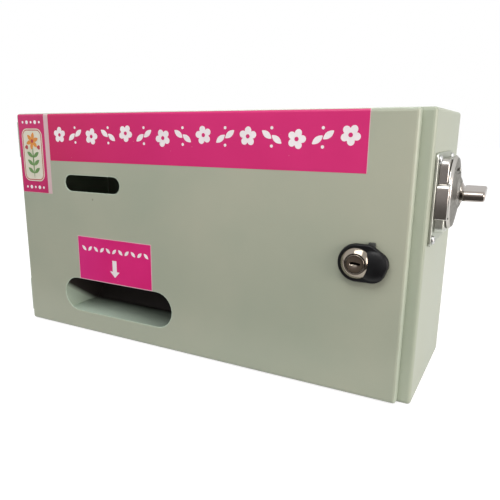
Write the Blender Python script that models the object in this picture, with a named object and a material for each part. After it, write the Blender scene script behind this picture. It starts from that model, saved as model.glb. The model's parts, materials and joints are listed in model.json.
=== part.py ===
# Wall-mounted sanitary napkin vending machine: a folded steel cabinet with a pan door,
# a spiral coil that pushes packets off a tray, and a coin mechanism on the right wall.
# Metres, +Z up. X runs along the front, Y points into the wall, origin at the centre of the back face.
import math

import bmesh
import bpy
import numpy as np
from mathutils import Matrix, Vector

# Fits shared by all pieces
GAP = 0.0003
RUN_GAP = 0.0003
OVERRUN = 0.002
MERGE_DISTANCE = 1e-7
SHARP_ANGLE = math.radians(30)
ROUND_STEPS = 32
SMALL_STEPS = 16
# How far short of the end, and how far in, each ring of a rounded edge lies, as shares of its radius
EDGE_SHARES = ((1, 0), (1 / 3, 1 / 3), (0, 1))

# Cabinet, folded from one sheet, with a separate back panel
CABINET_WIDTH = 0.460
CABINET_HEIGHT = 0.250
CABINET_DEPTH = 0.1425
SHEET = 0.0012
FLANGE_WIDTH = 0.020
BEND_RADIUS = 0.003
KEYHOLE_SPACING = 0.300
KEYHOLE_DROP = 0.040
KEYHOLE_HEAD_RADIUS = 0.005
KEYHOLE_NECK_RADIUS = 0.0026
KEYHOLE_NECK_LENGTH = 0.012

# Door, a shallow pan hung over the front flanges
DOOR_RIGHT_GAP = 0.011
DOOR_RAISE = 0.001
DOOR_TOP_GAP = 0.0005
DOOR_DEPTH = 0.0072
DOOR_SHEET = 0.0012
DOOR_CORNER_RADIUS = 0.003
SIGHT_SLOT_LENGTH = 0.079
SIGHT_SLOT_HEIGHT = 0.018
SIGHT_SLOT_X = 0.111
SIGHT_SLOT_DROP = 0.076
COLLECT_SLOT_LENGTH = 0.1535
COLLECT_SLOT_HEIGHT = 0.0394
COLLECT_SLOT_X = 0.1378
COLLECT_SLOT_Z = 0.0443
BUFFER_RADIUS = 0.003
BUFFER_INSET = 0.030
BUFFER_SIDE_GAP = 0.0009

# Bullet hinges at the hidden left edge
HINGE_RADIUS = 0.003
HINGE_HALF_LENGTH = 0.020
HINGE_PIN_RADIUS = 0.0015
HINGE_WELD_GAP = 0.0003
HINGE_END_INSET = 0.030
HINGE_CAP = 0.003

# Coin mechanism; its axis is also the axis of the coil
MECH_FROM_FRONT = 0.058
MECH_FROM_TOP = 0.0692
PLATE_DEPTH = 0.080
PLATE_HEIGHT = 0.076
PLATE_DROP = 0.004
PLATE_THICKNESS = 0.002
PLATE_CORNER_RADIUS = 0.004
HOUSING_SIDE_INSET = 0.010
HOUSING_TOP_INSET = 0.0045
HOUSING_BOTTOM_INSET = 0.010
HOUSING_REACH = 0.0070
HOUSING_CORNER_RADIUS = 0.006
CHEEK_DEPTH_SHARE = 0.7
CHEEK_HEIGHT = 0.029
CHEEK_REACH = 0.0096
CHEEK_TOP_RISE = 0.0095
CHEEK_EDGE_RADIUS = 0.004
CHEEK_FRONT_INSET = 0.002
DISC_RADIUS_SHARE = 0.412
DISC_THICKNESS = 0.0030
DISC_BEVEL = 0.0022
DISC_DOME = 0.0024
DOME_STEPS = 4
COIN_SLOT_LENGTH = 0.026
COIN_SLOT_WIDTH = 0.0026
COIN_SLOT_DEPTH = 0.0016
COIN_SLOT_UP = 0.018
NECK_RADIUS = 0.0090
NECK_LENGTH = 0.003
PADDLE_LENGTH = 0.0180
PADDLE_WIDTH = 0.025
PADDLE_THICKNESS = 0.0084
PADDLE_REST_TILT = math.radians(10)
PADDLE_EDGE_RADIUS = 0.002
PADDLE_SIDE_RADIUS = 0.003
SCREW_SHANK_RADIUS = 0.002
SCREW_HEAD_RADIUS = 0.0036
SCREW_HEAD_HEIGHT = 0.0022
SCREW_EDGE_DISTANCE = 0.0055
NUT_RADIUS = 0.004
NUT_THICKNESS = 0.003
INNER_BODY_INSET = 0.012
INNER_BODY_REACH = 0.014
SPINDLE_RADIUS = 0.003
SPINDLE_SEAT = 0.010
SPINDLE_WALL_HOLE_RADIUS = 0.008
SPINDLE_END = 0.006

# Spiral coil and its hub
WIRE_RADIUS = 0.002
COIL_RADIUS = 0.034
COIL_OVERHANG = 0.0074
COIL_CURLS = 7
POINTS_PER_CURL = 10
COIL_EASE_STEPS = 3
HUB_RADIUS = 0.011
HUB_LENGTH = 0.010
HUB_ARM_WIDTH = 0.009
HUB_ARM_THICKNESS = 0.005

# Product tray, guides, partition and drop chute
TRAY_SHEET = 0.001
TRAY_LEFT = 0.2165
TRAY_END_CLEARANCE = 0.030
TRAY_FRONT_LIP = 0.022
TRAY_BACK_FLANGE = 0.025
TRAY_COIL_GAP = 0.0025
TRAY_SIDE_GAP = 0.006
GUIDE_FOOT = 0.014
GUIDE_HEIGHT = 0.040
PARTITION_FLANGE = 0.012
CHUTE_SHEET = 0.001
CHUTE_LEFT = 0.0545
CHUTE_DOOR_GAP = 0.001
CHUTE_FLOOR_DEPTH = 0.060
CHUTE_RAMP_DROP = 0.0233
CHUTE_WALL_DROP = 0.018
TRAY_SCREW_X_SHARES = (0.12, 0.88)

# Coin chute and coin box
COIN_CHUTE_SHEET = 0.001
COIN_CHUTE_SIDE_INSET = 0.008
COIN_CHUTE_DEPTH = 0.010
COIN_CHUTE_FLANGE = 0.008
COIN_CHUTE_TOP_GAP = 0.002
COIN_DROP_GAP = 0.0115
COIN_BOX_LENGTH = 0.150
COIN_BOX_DEPTH = 0.100
COIN_BOX_HEIGHT_SHARE = 0.248
COIN_BOX_WALL = 0.0012
COIN_BOX_FRONT = 0.016
COIN_BOX_NOTCH_RADIUS = 0.012
BOX_SIDE_GAP = 0.001
COIN_EXIT_HEIGHT = 0.008

# Keyed lock with a moulded thumb turn
LOCK_FROM_RIGHT = 0.0513
LOCK_BELOW_TRAY = 0.0173
LOCK_HOLE_RADIUS = 0.0093
BASE_RADIUS = 0.0160
BASE_THICKNESS = 0.0022
BASE_TAB_RIGHT = 0.0142
BASE_TAB_TOP = 0.0178
BASE_TAB_WIDTH = 0.0060
TURN_RADIUS = 0.0165
TURN_LOBE_RADIUS = 0.0139
TURN_LOBE_OFFSET = 0.0136
TURN_LOBE_LEAN = math.radians(-10)
TURN_THICKNESS = 0.0034
TURN_EDGE_RADIUS = 0.0014
TURN_LOBE_RISE = 0.0030
CROWN_STEPS = 6
HEAD_RADIUS = 0.0131
HEAD_FACE_RADIUS = 0.0090
HEAD_SKIRT = 0.0010
HEAD_HEIGHT = 0.0036
STEM_RADIUS = 0.0088
TAIL_RADIUS = 0.0060
PLUG_RADIUS = 0.0080
PLUG_FLOOR = 0.0012
PLUG_PROUD = 0.0004
KEYWAY_LENGTH = 0.0085
KEYWAY_WIDTH = 0.0016
KEYWAY_DEPTH = 0.0050
BARREL_LENGTH = 0.020
LOCK_NUT_RADIUS = 0.0135
LOCK_NUT_THICKNESS = 0.004
CAM_THICKNESS = 0.002
CAM_WIDTH = 0.014
CAM_REACH = 0.040
CAM_HEEL = 0.008
CAM_CRANK_START = 0.012
CAM_CRANK_END = 0.022
CAM_FLANGE_GAP = 0.0020
CAM_SCREW_RADIUS = 0.002
CAM_SCREW_LENGTH = 0.008

# Colours: base colour, roughness, metallic
FINISHES = {
    "painted_steel": ((0.37, 0.39, 0.31), 0.45, 0.0),
    "door_paint": ((0.38, 0.41, 0.32), 0.42, 0.0),
    "zinc_plate": ((0.62, 0.63, 0.62), 0.35, 0.9),
    "chrome": ((0.75, 0.74, 0.72), 0.15, 1.0),
    "steel_wire": ((0.55, 0.56, 0.57), 0.30, 0.95),
    "black_moulding": ((0.015, 0.015, 0.017), 0.35, 0.0),
    "nickel": ((0.58, 0.55, 0.50), 0.25, 1.0),
    "rubber": ((0.03, 0.03, 0.03), 0.8, 0.0),
}

# Planes and places worked out from the sizes above
LEFT = -CABINET_WIDTH / 2
RIGHT = CABINET_WIDTH / 2
BOTTOM = -CABINET_HEIGHT / 2
TOP = CABINET_HEIGHT / 2
FLANGE_FACE = -CABINET_DEPTH
DOOR_BACK = FLANGE_FACE - GAP
DOOR_FACE = DOOR_BACK - DOOR_DEPTH
DOOR_BOTTOM = BOTTOM + DOOR_RAISE
DOOR_WIDTH = CABINET_WIDTH - DOOR_RIGHT_GAP
DOOR_HEIGHT = CABINET_HEIGHT - DOOR_RAISE - DOOR_TOP_GAP
MECH_Y = DOOR_FACE + MECH_FROM_FRONT
MECH_HEIGHT = TOP - MECH_FROM_TOP
HOUSING_DEPTH = PLATE_DEPTH - 2 * HOUSING_SIDE_INSET
HOUSING_HEIGHT = PLATE_HEIGHT - HOUSING_TOP_INSET - HOUSING_BOTTOM_INSET
DISC_RADIUS = PLATE_HEIGHT * DISC_RADIUS_SHARE
PLATE_MIDDLE = MECH_HEIGHT - PLATE_DROP
HOUSING_MIDDLE = PLATE_MIDDLE + (HOUSING_BOTTOM_INSET - HOUSING_TOP_INSET) / 2
INNER_BODY_DEPTH = PLATE_DEPTH - 2 * INNER_BODY_INSET
INNER_BODY_HEIGHT = PLATE_HEIGHT - 2 * INNER_BODY_INSET
COIN_CHUTE_WIDTH = INNER_BODY_DEPTH - 2 * COIN_CHUTE_SIDE_INSET
COIN_BOX_HEIGHT = CABINET_HEIGHT * COIN_BOX_HEIGHT_SHARE
PLATE_INNER = RIGHT + GAP
PLATE_OUTER = PLATE_INNER + PLATE_THICKNESS
HOUSING_INNER = PLATE_OUTER + GAP
HOUSING_OUTER = HOUSING_INNER + HOUSING_REACH
DISC_INNER = HOUSING_OUTER + GAP
DISC_OUTER = DISC_INNER + DISC_THICKNESS
HANDLE_INNER = DISC_OUTER + DISC_DOME + RUN_GAP
WALL_INNER = RIGHT - SHEET
INNER_BODY_RIGHT = WALL_INNER - GAP
INNER_BODY_LEFT = INNER_BODY_RIGHT - INNER_BODY_REACH
TRAY_RIGHT = RIGHT - TRAY_END_CLEARANCE
HUB_RIGHT = INNER_BODY_LEFT - RUN_GAP
HUB_LEFT = HUB_RIGHT - HUB_LENGTH
TRAY_TOP = MECH_HEIGHT - COIL_RADIUS - WIRE_RADIUS - TRAY_COIL_GAP
TRAY_BOTTOM = TRAY_TOP - TRAY_SHEET
LOCK_AT = Vector((RIGHT - LOCK_FROM_RIGHT, DOOR_FACE, TRAY_BOTTOM - LOCK_BELOW_TRAY))
PARTITION_X = LEFT + TRAY_LEFT + GAP
HINGE_X = LEFT - HINGE_WELD_GAP - HINGE_RADIUS
HINGE_Y = (DOOR_BACK + FLANGE_FACE) / 2


def clear_scene():
    for item in list(bpy.data.objects):
        bpy.data.objects.remove(item, do_unlink=True)


def make_material(name):
    colour, roughness, metallic = FINISHES[name]
    material = bpy.data.materials.get(name)
    if material is None:
        material = bpy.data.materials.new(name)
        material.use_nodes = True
        shader = material.node_tree.nodes["Principled BSDF"]
        shader.inputs["Base Color"].default_value = (*colour, 1.0)
        shader.inputs["Roughness"].default_value = roughness
        shader.inputs["Metallic"].default_value = metallic
        material.diffuse_color = (*colour, 1.0)
    return material


def place(name, mesh, finish, smooth=False):
    """One named piece in its own finish; finish None makes a hidden cutter."""
    item = bpy.data.objects.new(name, mesh)
    bpy.context.scene.collection.objects.link(item)
    if finish is None:
        item.hide_render = True
        item.display_type = "WIRE"
    else:
        mesh.materials.append(make_material(finish))
    if smooth:
        mesh.shade_smooth()
        mesh.set_sharp_from_angle(angle=SHARP_ANGLE)
    return item


def to_mesh(name, shape):
    bmesh.ops.recalc_face_normals(shape, faces=shape.faces)
    mesh = bpy.data.meshes.new(name)
    shape.to_mesh(mesh)
    shape.free()
    return mesh


def loft_mesh(name, rings):
    """Closed solid through rings of the same number of points, with flat ends."""
    shape = bmesh.new()
    loops = [[shape.verts.new(point) for point in ring] for ring in rings]
    count = len(loops[0])
    for low, high in zip(loops, loops[1:]):
        for i in range(count):
            j = (i + 1) % count
            shape.faces.new((low[i], low[j], high[j], high[i]))
    shape.faces.new(list(reversed(loops[0])))
    shape.faces.new(loops[-1])
    return to_mesh(name, shape)


def prism(name, outline, axis, low, high, finish=None, smooth=False):
    """Outline of pairs, extruded along X, Y or Z; the pairs are the other two axes in X, Y, Z order."""
    def lift(pair, level):
        point = list(pair)
        point.insert("XYZ".index(axis), level)
        return Vector(point)
    rings = [[lift(pair, level) for pair in outline] for level in (low, high)]
    return place(name, loft_mesh(name, rings), finish, smooth)


def block(name, low, high, finish=None):
    outline = [(low[0], low[1]), (high[0], low[1]), (high[0], high[1]), (low[0], high[1])]
    return prism(name, outline, "Z", low[2], high[2], finish)


def rounded_rect(centre, size, radius, steps=4):
    """Anticlockwise outline of a rectangle with round corners."""
    half = (size[0] / 2 - radius, size[1] / 2 - radius)
    points = []
    for corner, (sx, sy) in enumerate(((1, 1), (-1, 1), (-1, -1), (1, -1))):
        for i in range(steps + 1):
            angle = math.pi / 2 * (corner + i / steps)
            points.append((centre[0] + sx * half[0] + radius * math.cos(angle),
                           centre[1] + sy * half[1] + radius * math.sin(angle)))
    return points


def stadium(centre, length, height, steps=12):
    """Slot outline with fully round ends."""
    radius = height / 2
    reach = length / 2 - radius
    points = []
    for side in (1, -1):
        for i in range(steps + 1):
            angle = -math.pi / 2 + math.pi * i / steps
            points.append((centre[0] + side * (reach + radius * math.cos(angle)),
                           centre[1] + side * radius * math.sin(angle)))
    return points


def circle(centre, radius, steps=ROUND_STEPS):
    return [(centre[0] + radius * math.cos(2 * math.pi * i / steps),
             centre[1] + radius * math.sin(2 * math.pi * i / steps)) for i in range(steps)]


def turned(name, profile, axis, at, finish=None, steps=ROUND_STEPS):
    """Solid of revolution. Profile pairs are (radius, distance along the axis from at)."""
    shape = bmesh.new()
    verts = [shape.verts.new((radius, 0.0, along)) for radius, along in profile]
    pairs = list(zip(verts, verts[1:] + verts[:1]))
    edges = [shape.edges.new(pair) for pair in pairs if pair[0].co.x > 0 or pair[1].co.x > 0]
    bmesh.ops.spin(shape, geom=verts + edges, cent=(0, 0, 0), axis=(0, 0, 1),
                   angle=2 * math.pi, steps=steps, use_merge=True, use_duplicate=False)
    bmesh.ops.remove_doubles(shape, verts=shape.verts, dist=MERGE_DISTANCE)
    turn = Vector((0, 0, 1)).rotation_difference(Vector(axis)).to_matrix().to_4x4()
    bmesh.ops.transform(shape, matrix=Matrix.Translation(at) @ turn, verts=shape.verts)
    return place(name, to_mesh(name, shape), finish, True)


def drum(name, radius, axis, at, length, finish=None, steps=ROUND_STEPS):
    return turned(name, [(0, 0), (radius, 0), (radius, length), (0, length)], axis, at, finish, steps)


def combine(item, other, operation):
    modifier = item.modifiers.new(other.name, "BOOLEAN")
    modifier.operation = operation
    modifier.solver = "EXACT"
    modifier.object = other
    other.hide_render = True
    other.display_type = "WIRE"


def cut(item, *cutters):
    for cutter in cutters:
        combine(item, cutter, "DIFFERENCE")


def join(item, *others):
    for other in others:
        combine(item, other, "UNION")


def fold(path, thickness):
    """Outline of a bent strip: the path and its copy moved to the left by the thickness, mitred."""
    moved = []
    for i, (x, y) in enumerate(path):
        before = Vector(path[i]) - Vector(path[i - 1]) if i > 0 else None
        after = Vector(path[i + 1]) - Vector(path[i]) if i + 1 < len(path) else None
        sides = [Vector((-run.y, run.x)).normalized() for run in (before, after) if run is not None]
        mitre = sum(sides, Vector((0, 0))).normalized()
        reach = thickness / mitre.dot(sides[0])
        moved.append((x + mitre.x * reach, y + mitre.y * reach))
    return list(path) + moved[::-1]


def round_front(name, centre, size, corner, front, back, edge, finish=None, steps=3):
    """Rounded rectangle in X and Z, with its front edges (towards -Y) rounded as well."""
    rings = []
    for i in range(steps + 1):
        angle = math.pi / 2 * i / steps
        inset = edge * (1 - math.sin(angle))
        outline = rounded_rect(centre, (size[0] - 2 * inset, size[1] - 2 * inset), max(corner - inset, GAP))
        level = front + edge * (1 - math.cos(angle))
        rings.append([(x, level, z) for x, z in outline])
    rings.append([(x, back, z) for x, level, z in rings[-1]])
    return place(name, loft_mesh(name, rings), finish, finish is not None)


def mech_corners():
    reach_y = PLATE_DEPTH / 2 - SCREW_EDGE_DISTANCE
    reach_z = PLATE_HEIGHT / 2 - SCREW_EDGE_DISTANCE
    return [(MECH_Y + sy * reach_y, PLATE_MIDDLE + sz * reach_z) for sz in (1, -1) for sy in (-1, 1)]


def make_cabinet():
    middle = (0, 0)
    body = round_front("cabinet_body", middle, (CABINET_WIDTH, CABINET_HEIGHT), BEND_RADIUS,
                       FLANGE_FACE, 0, BEND_RADIUS, "painted_steel")
    inner = (CABINET_WIDTH - 2 * SHEET, CABINET_HEIGHT - 2 * SHEET)
    cavity = prism("cabinet_cavity", rounded_rect(middle, inner, BEND_RADIUS - SHEET), "Y",
                   FLANGE_FACE + SHEET, OVERRUN)
    mouth = (CABINET_WIDTH - 2 * FLANGE_WIDTH, CABINET_HEIGHT - 2 * FLANGE_WIDTH)
    opening = prism("cabinet_mouth", rounded_rect(middle, mouth, BEND_RADIUS), "Y",
                    FLANGE_FACE - OVERRUN, FLANGE_FACE + SHEET + OVERRUN)
    spindle_hole = drum("spindle_wall_hole", SPINDLE_WALL_HOLE_RADIUS, (1, 0, 0),
                        (WALL_INNER - OVERRUN, MECH_Y, MECH_HEIGHT), SHEET + 2 * OVERRUN)
    cut(body, cavity, opening, spindle_hole)
    for i, (y, z) in enumerate(mech_corners()):
        cut(body, drum(f"wall_screw_hole_{i + 1}", SCREW_SHANK_RADIUS + GAP, (1, 0, 0),
                       (WALL_INNER - OVERRUN, y, z), SHEET + 2 * OVERRUN, steps=SMALL_STEPS))


def tray_screw_places():
    span = TRAY_RIGHT - LEFT - TRAY_LEFT
    level = TRAY_TOP + TRAY_BACK_FLANGE / 2
    return [(LEFT + TRAY_LEFT + share * span, level) for share in TRAY_SCREW_X_SHARES]


def make_back_panel():
    size = (CABINET_WIDTH - 2 * SHEET - 2 * GAP, CABINET_HEIGHT - 2 * SHEET - 2 * GAP)
    outline = rounded_rect((0, 0), size, BEND_RADIUS - SHEET)
    panel = prism("back_panel", outline, "Y", -SHEET, 0, "painted_steel")
    low, high = -SHEET - OVERRUN, OVERRUN
    for side, x in (("left", -KEYHOLE_SPACING / 2), ("right", KEYHOLE_SPACING / 2)):
        z = TOP - KEYHOLE_DROP
        head = prism(f"keyhole_head_{side}", circle((x, z), KEYHOLE_HEAD_RADIUS), "Y", low, high)
        neck_size = (2 * KEYHOLE_NECK_RADIUS, KEYHOLE_NECK_LENGTH)
        neck = prism(f"keyhole_neck_{side}",
                     rounded_rect((x, z + KEYHOLE_NECK_LENGTH / 2), neck_size, KEYHOLE_NECK_RADIUS - GAP),
                     "Y", low, high)
        cut(panel, head, neck)
    for i, (x, z) in enumerate(tray_screw_places()):
        hole = circle((x, z), SCREW_SHANK_RADIUS + GAP, SMALL_STEPS)
        cut(panel, prism(f"panel_hole_{i + 1}", hole, "Y", low, high))


def make_door():
    centre = (LEFT + DOOR_WIDTH / 2, DOOR_BOTTOM + DOOR_HEIGHT / 2)
    door = round_front("door_panel", centre, (DOOR_WIDTH, DOOR_HEIGHT), DOOR_CORNER_RADIUS,
                       DOOR_FACE, DOOR_BACK, DOOR_CORNER_RADIUS, "door_paint")
    inner = (DOOR_WIDTH - 2 * DOOR_SHEET, DOOR_HEIGHT - 2 * DOOR_SHEET)
    hollow = prism("door_hollow", rounded_rect(centre, inner, DOOR_CORNER_RADIUS - DOOR_SHEET), "Y",
                   DOOR_FACE + DOOR_SHEET, DOOR_BACK + OVERRUN)
    low, high = DOOR_FACE - OVERRUN, DOOR_BACK + OVERRUN
    sight = prism("sight_slot", stadium((LEFT + SIGHT_SLOT_X, TOP - SIGHT_SLOT_DROP), SIGHT_SLOT_LENGTH,
                                        SIGHT_SLOT_HEIGHT), "Y", low, high)
    collect = prism("collect_slot", stadium((LEFT + COLLECT_SLOT_X, BOTTOM + COLLECT_SLOT_Z),
                                            COLLECT_SLOT_LENGTH, COLLECT_SLOT_HEIGHT), "Y", low, high)
    lock_hole = prism("lock_hole", circle((LOCK_AT.x, LOCK_AT.z), LOCK_HOLE_RADIUS), "Y", low, high)
    cut(door, hollow, sight, collect, lock_hole)
    length = DOOR_DEPTH - DOOR_SHEET - GAP
    x = LEFT + DOOR_WIDTH - DOOR_SHEET - BUFFER_SIDE_GAP - BUFFER_RADIUS
    for name, z in (("upper", TOP - BUFFER_INSET), ("lower", BOTTOM + BUFFER_INSET)):
        drum(f"door_buffer_{name}", BUFFER_RADIUS, (0, -1, 0), (x, FLANGE_FACE - GAP, z), length,
             "rubber", SMALL_STEPS)


def make_hinge(name, z):
    at = Vector((HINGE_X, HINGE_Y, z))
    bore = HINGE_PIN_RADIUS + RUN_GAP
    half_gap = RUN_GAP / 2
    turned(f"hinge_body_{name}", [(bore, -HINGE_HALF_LENGTH), (HINGE_RADIUS, -HINGE_HALF_LENGTH),
                                  (HINGE_RADIUS, -half_gap), (bore, -half_gap)],
           (0, 0, 1), at, "painted_steel", SMALL_STEPS)
    cap_under = HINGE_HALF_LENGTH - HINGE_CAP
    turned(f"hinge_leaf_{name}", [(bore, half_gap), (HINGE_RADIUS, half_gap), (HINGE_RADIUS, HINGE_HALF_LENGTH),
                                  (0, HINGE_HALF_LENGTH), (0, cap_under), (bore, cap_under)],
           (0, 0, 1), at, "door_paint", SMALL_STEPS)
    drum(f"hinge_pin_{name}", HINGE_PIN_RADIUS, (0, 0, 1), at - Vector((0, 0, HINGE_HALF_LENGTH)),
         HINGE_HALF_LENGTH + cap_under - RUN_GAP, "zinc_plate", SMALL_STEPS)


def make_tray():
    front = MECH_Y - COIL_RADIUS - WIRE_RADIUS - TRAY_SIDE_GAP
    back = -SHEET - GAP
    path = [(front, TRAY_TOP + TRAY_FRONT_LIP), (front, TRAY_BOTTOM), (back, TRAY_BOTTOM),
            (back, TRAY_TOP + TRAY_BACK_FLANGE)]
    left = LEFT + TRAY_LEFT
    tray = prism("product_tray", fold(path, TRAY_SHEET), "X", left, TRAY_RIGHT, "painted_steel")
    guide_y = MECH_Y + COIL_RADIUS + WIRE_RADIUS + TRAY_SIDE_GAP
    foot = TRAY_TOP + GAP
    path = [(guide_y + GUIDE_FOOT, foot), (guide_y, foot), (guide_y, foot + GUIDE_HEIGHT)]
    prism("rear_guide", fold(path[::-1], TRAY_SHEET), "X", left, TRAY_RIGHT, "painted_steel")
    head_y = back - TRAY_SHEET - GAP
    for i, (x, z) in enumerate(tray_screw_places()):
        cut(tray, prism(f"tray_hole_{i + 1}", circle((x, z), SCREW_SHANK_RADIUS + GAP, SMALL_STEPS), "Y",
                        back - TRAY_SHEET - OVERRUN, back + GAP / 2))
        make_screw(f"tray_rivet_{i + 1}", (0, -1, 0), (x, head_y, z), -head_y - GAP)


def make_screw(name, axis, at, length):
    """Pan-head fastener: at is under its head, and the shank runs back along the axis."""
    turned(name, [(0, -length), (SCREW_SHANK_RADIUS, -length), (SCREW_SHANK_RADIUS, 0), (SCREW_HEAD_RADIUS, 0),
                  (SCREW_HEAD_RADIUS, SCREW_HEAD_HEIGHT / 2), (SCREW_HEAD_RADIUS / 2, SCREW_HEAD_HEIGHT),
                  (0, SCREW_HEAD_HEIGHT)], axis, at, "zinc_plate", SMALL_STEPS)


def make_partition():
    low = BOTTOM + SHEET + GAP
    high = TRAY_BOTTOM - GAP
    path = [(PARTITION_X + PARTITION_FLANGE, low), (PARTITION_X, low), (PARTITION_X, high),
            (PARTITION_X + PARTITION_FLANGE, high)]
    prism("partition", fold(path[::-1], SHEET), "Y", FLANGE_FACE + SHEET + GAP, -SHEET - GAP, "painted_steel")


def make_drop_chute():
    """Level floor behind the collect slot, a steep ramp up to the back panel, and two side walls."""
    left = LEFT + CHUTE_LEFT
    right = PARTITION_X - GAP
    front = DOOR_FACE + DOOR_SHEET + CHUTE_DOOR_GAP
    floor = BOTTOM + FLANGE_WIDTH + GAP
    knee = DOOR_FACE + CHUTE_FLOOR_DEPTH
    back = -SHEET - GAP
    ramp_top = TRAY_BOTTOM - CHUTE_RAMP_DROP
    wall_top = ramp_top - CHUTE_WALL_DROP
    path = [(front, floor), (knee, floor), (back - CHUTE_SHEET, ramp_top)]
    chute = prism("drop_chute", fold(path, CHUTE_SHEET), "X", left, right, "painted_steel")
    half = CHUTE_SHEET / 2
    side = [(front, floor + half), (knee - half, floor + half), (back - CHUTE_SHEET - half, ramp_top),
            (back - CHUTE_SHEET - half, ramp_top + half), (front, wall_top)]
    join(chute, prism("chute_left_wall", side, "X", left, left + CHUTE_SHEET),
         prism("chute_right_wall", side, "X", right - CHUTE_SHEET, right))


def make_coin_path():
    """Hat-section chute on the right wall, and the open box that stands below it."""
    inner = WALL_INNER - GAP
    depth = inner - COIN_CHUTE_DEPTH - COIN_CHUTE_SHEET
    half = COIN_CHUTE_WIDTH / 2
    edge = half + COIN_CHUTE_SHEET + COIN_CHUTE_FLANGE
    path = [(inner, MECH_Y - edge), (inner, MECH_Y - half), (depth + COIN_CHUTE_SHEET, MECH_Y - half),
            (depth + COIN_CHUTE_SHEET, MECH_Y + half), (inner, MECH_Y + half), (inner, MECH_Y + edge)]
    top = PLATE_MIDDLE - INNER_BODY_HEIGHT / 2 - COIN_CHUTE_TOP_GAP
    low = BOTTOM + SHEET + GAP
    chute_end = low + COIN_BOX_HEIGHT + COIN_DROP_GAP
    prism("coin_chute", fold(path, COIN_CHUTE_SHEET), "Z", chute_end, top, "zinc_plate")
    right = WALL_INNER - BOX_SIDE_GAP
    front = FLANGE_FACE + SHEET + COIN_BOX_FRONT
    box = block("coin_box", (right - COIN_BOX_LENGTH, front, low),
                (right, front + COIN_BOX_DEPTH, low + COIN_BOX_HEIGHT), "zinc_plate")
    wall = COIN_BOX_WALL
    hollow = block("coin_box_hollow", (right - COIN_BOX_LENGTH + wall, front + wall, low + wall),
                   (right - wall, front + COIN_BOX_DEPTH - wall, low + COIN_BOX_HEIGHT + OVERRUN))
    notch = prism("coin_box_notch", circle((right - COIN_BOX_LENGTH / 2, low + COIN_BOX_HEIGHT),
                                           COIN_BOX_NOTCH_RADIUS, SMALL_STEPS),
                  "Y", front - OVERRUN, front + wall + OVERRUN)
    cut(box, hollow, notch)


def coil_points():
    """Centre line of the spiral: it leaves the hub arm along X, eases into the turn and ends the same way.

    The advance of each step is worked out so that the last point stands past the tray's end by the overhang.
    """
    steps = COIL_CURLS * POINTS_PER_CURL + 2 * COIL_EASE_STEPS
    turning = [max(min(1.0, i / COIL_EASE_STEPS, (steps - 1 - i) / COIL_EASE_STEPS), 0.0) for i in range(steps)]
    x = HUB_LEFT - GAP
    run = x - (LEFT + TRAY_LEFT - COIL_OVERHANG)
    straight = 2 * WIRE_RADIUS
    advance = (run - straight * sum(1 - share for share in turning)) / sum(turning)
    angle = 0.0
    points = []
    for share in turning + [0.0]:
        points.append((x, MECH_Y + COIL_RADIUS * math.cos(angle), MECH_HEIGHT + COIL_RADIUS * math.sin(angle)))
        angle += share * 2 * math.pi / POINTS_PER_CURL
        x -= share * advance + (1 - share) * straight
    return points


def least_self_gap(points):
    """Smallest clear distance between curls, measured on points more than half a curl apart."""
    line = np.array(points)
    apart = POINTS_PER_CURL // 2
    least = min(np.linalg.norm(line[i + apart:] - line[i], axis=1).min() for i in range(len(line) - apart))
    return least - 2 * WIRE_RADIUS


def make_coil():
    points = coil_points()
    gap = least_self_gap(points)
    print(f"spiral coil: least gap to itself {gap:.4f}, ends at x {points[-1][0]:.4f}, metres")
    curve = bpy.data.curves.new("coil_line", "CURVE")
    curve.dimensions = "3D"
    curve.bevel_depth = WIRE_RADIUS
    curve.bevel_resolution = 1
    curve.use_fill_caps = True
    spline = curve.splines.new("POLY")
    spline.points.add(len(points) - 1)
    for spot, point in zip(spline.points, points):
        spot.co = (*point, 1.0)
    guide = bpy.data.objects.new("coil_guide", curve)
    bpy.context.scene.collection.objects.link(guide)
    bpy.context.view_layer.update()
    mesh = bpy.data.meshes.new_from_object(guide.evaluated_get(bpy.context.evaluated_depsgraph_get()))
    bpy.data.objects.remove(guide, do_unlink=True)
    place("spiral_coil", mesh, "steel_wire", True)


def make_drive():
    axis = (1, 0, 0)
    hub = drum("coil_hub", HUB_RADIUS, axis, (HUB_LEFT, MECH_Y, MECH_HEIGHT), HUB_LENGTH, "black_moulding")
    tip = COIL_RADIUS + 2 * WIRE_RADIUS
    arm = block("hub_arm", (HUB_LEFT, MECH_Y, MECH_HEIGHT - HUB_ARM_WIDTH / 2),
                (HUB_LEFT + HUB_ARM_THICKNESS, MECH_Y + tip, MECH_HEIGHT + HUB_ARM_WIDTH / 2))
    tail = block("hub_tail", (HUB_LEFT, MECH_Y - tip / 2, MECH_HEIGHT - HUB_ARM_WIDTH / 2),
                 (HUB_LEFT + HUB_ARM_THICKNESS, MECH_Y, MECH_HEIGHT + HUB_ARM_WIDTH / 2))
    join(hub, arm, tail)
    cut(hub, drum("hub_bore", SPINDLE_RADIUS + GAP, axis, (HUB_LEFT - OVERRUN, MECH_Y, MECH_HEIGHT),
                  HUB_LENGTH + 2 * OVERRUN, steps=SMALL_STEPS))
    start = HUB_LEFT - SPINDLE_END
    end = HANDLE_INNER + SPINDLE_SEAT
    drum("drive_spindle", SPINDLE_RADIUS, axis, (start, MECH_Y, MECH_HEIGHT), end - start, "zinc_plate",
         SMALL_STEPS)
    make_nut("drive_nut", axis, (HUB_LEFT - GAP - NUT_THICKNESS, MECH_Y, MECH_HEIGHT),
             NUT_RADIUS + SPINDLE_RADIUS / 2, SPINDLE_RADIUS, NUT_THICKNESS)


def make_nut(name, axis, at, radius, shank, thickness):
    """Hexagonal nut with a round bore that clears its shank."""
    nut = drum(name, radius, axis, at, thickness, "zinc_plate", 6)
    start = Vector(at) - OVERRUN * Vector(axis)
    cut(nut, drum(f"{name}_bore", shank + GAP, axis, start, thickness + 2 * OVERRUN, steps=SMALL_STEPS))


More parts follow.
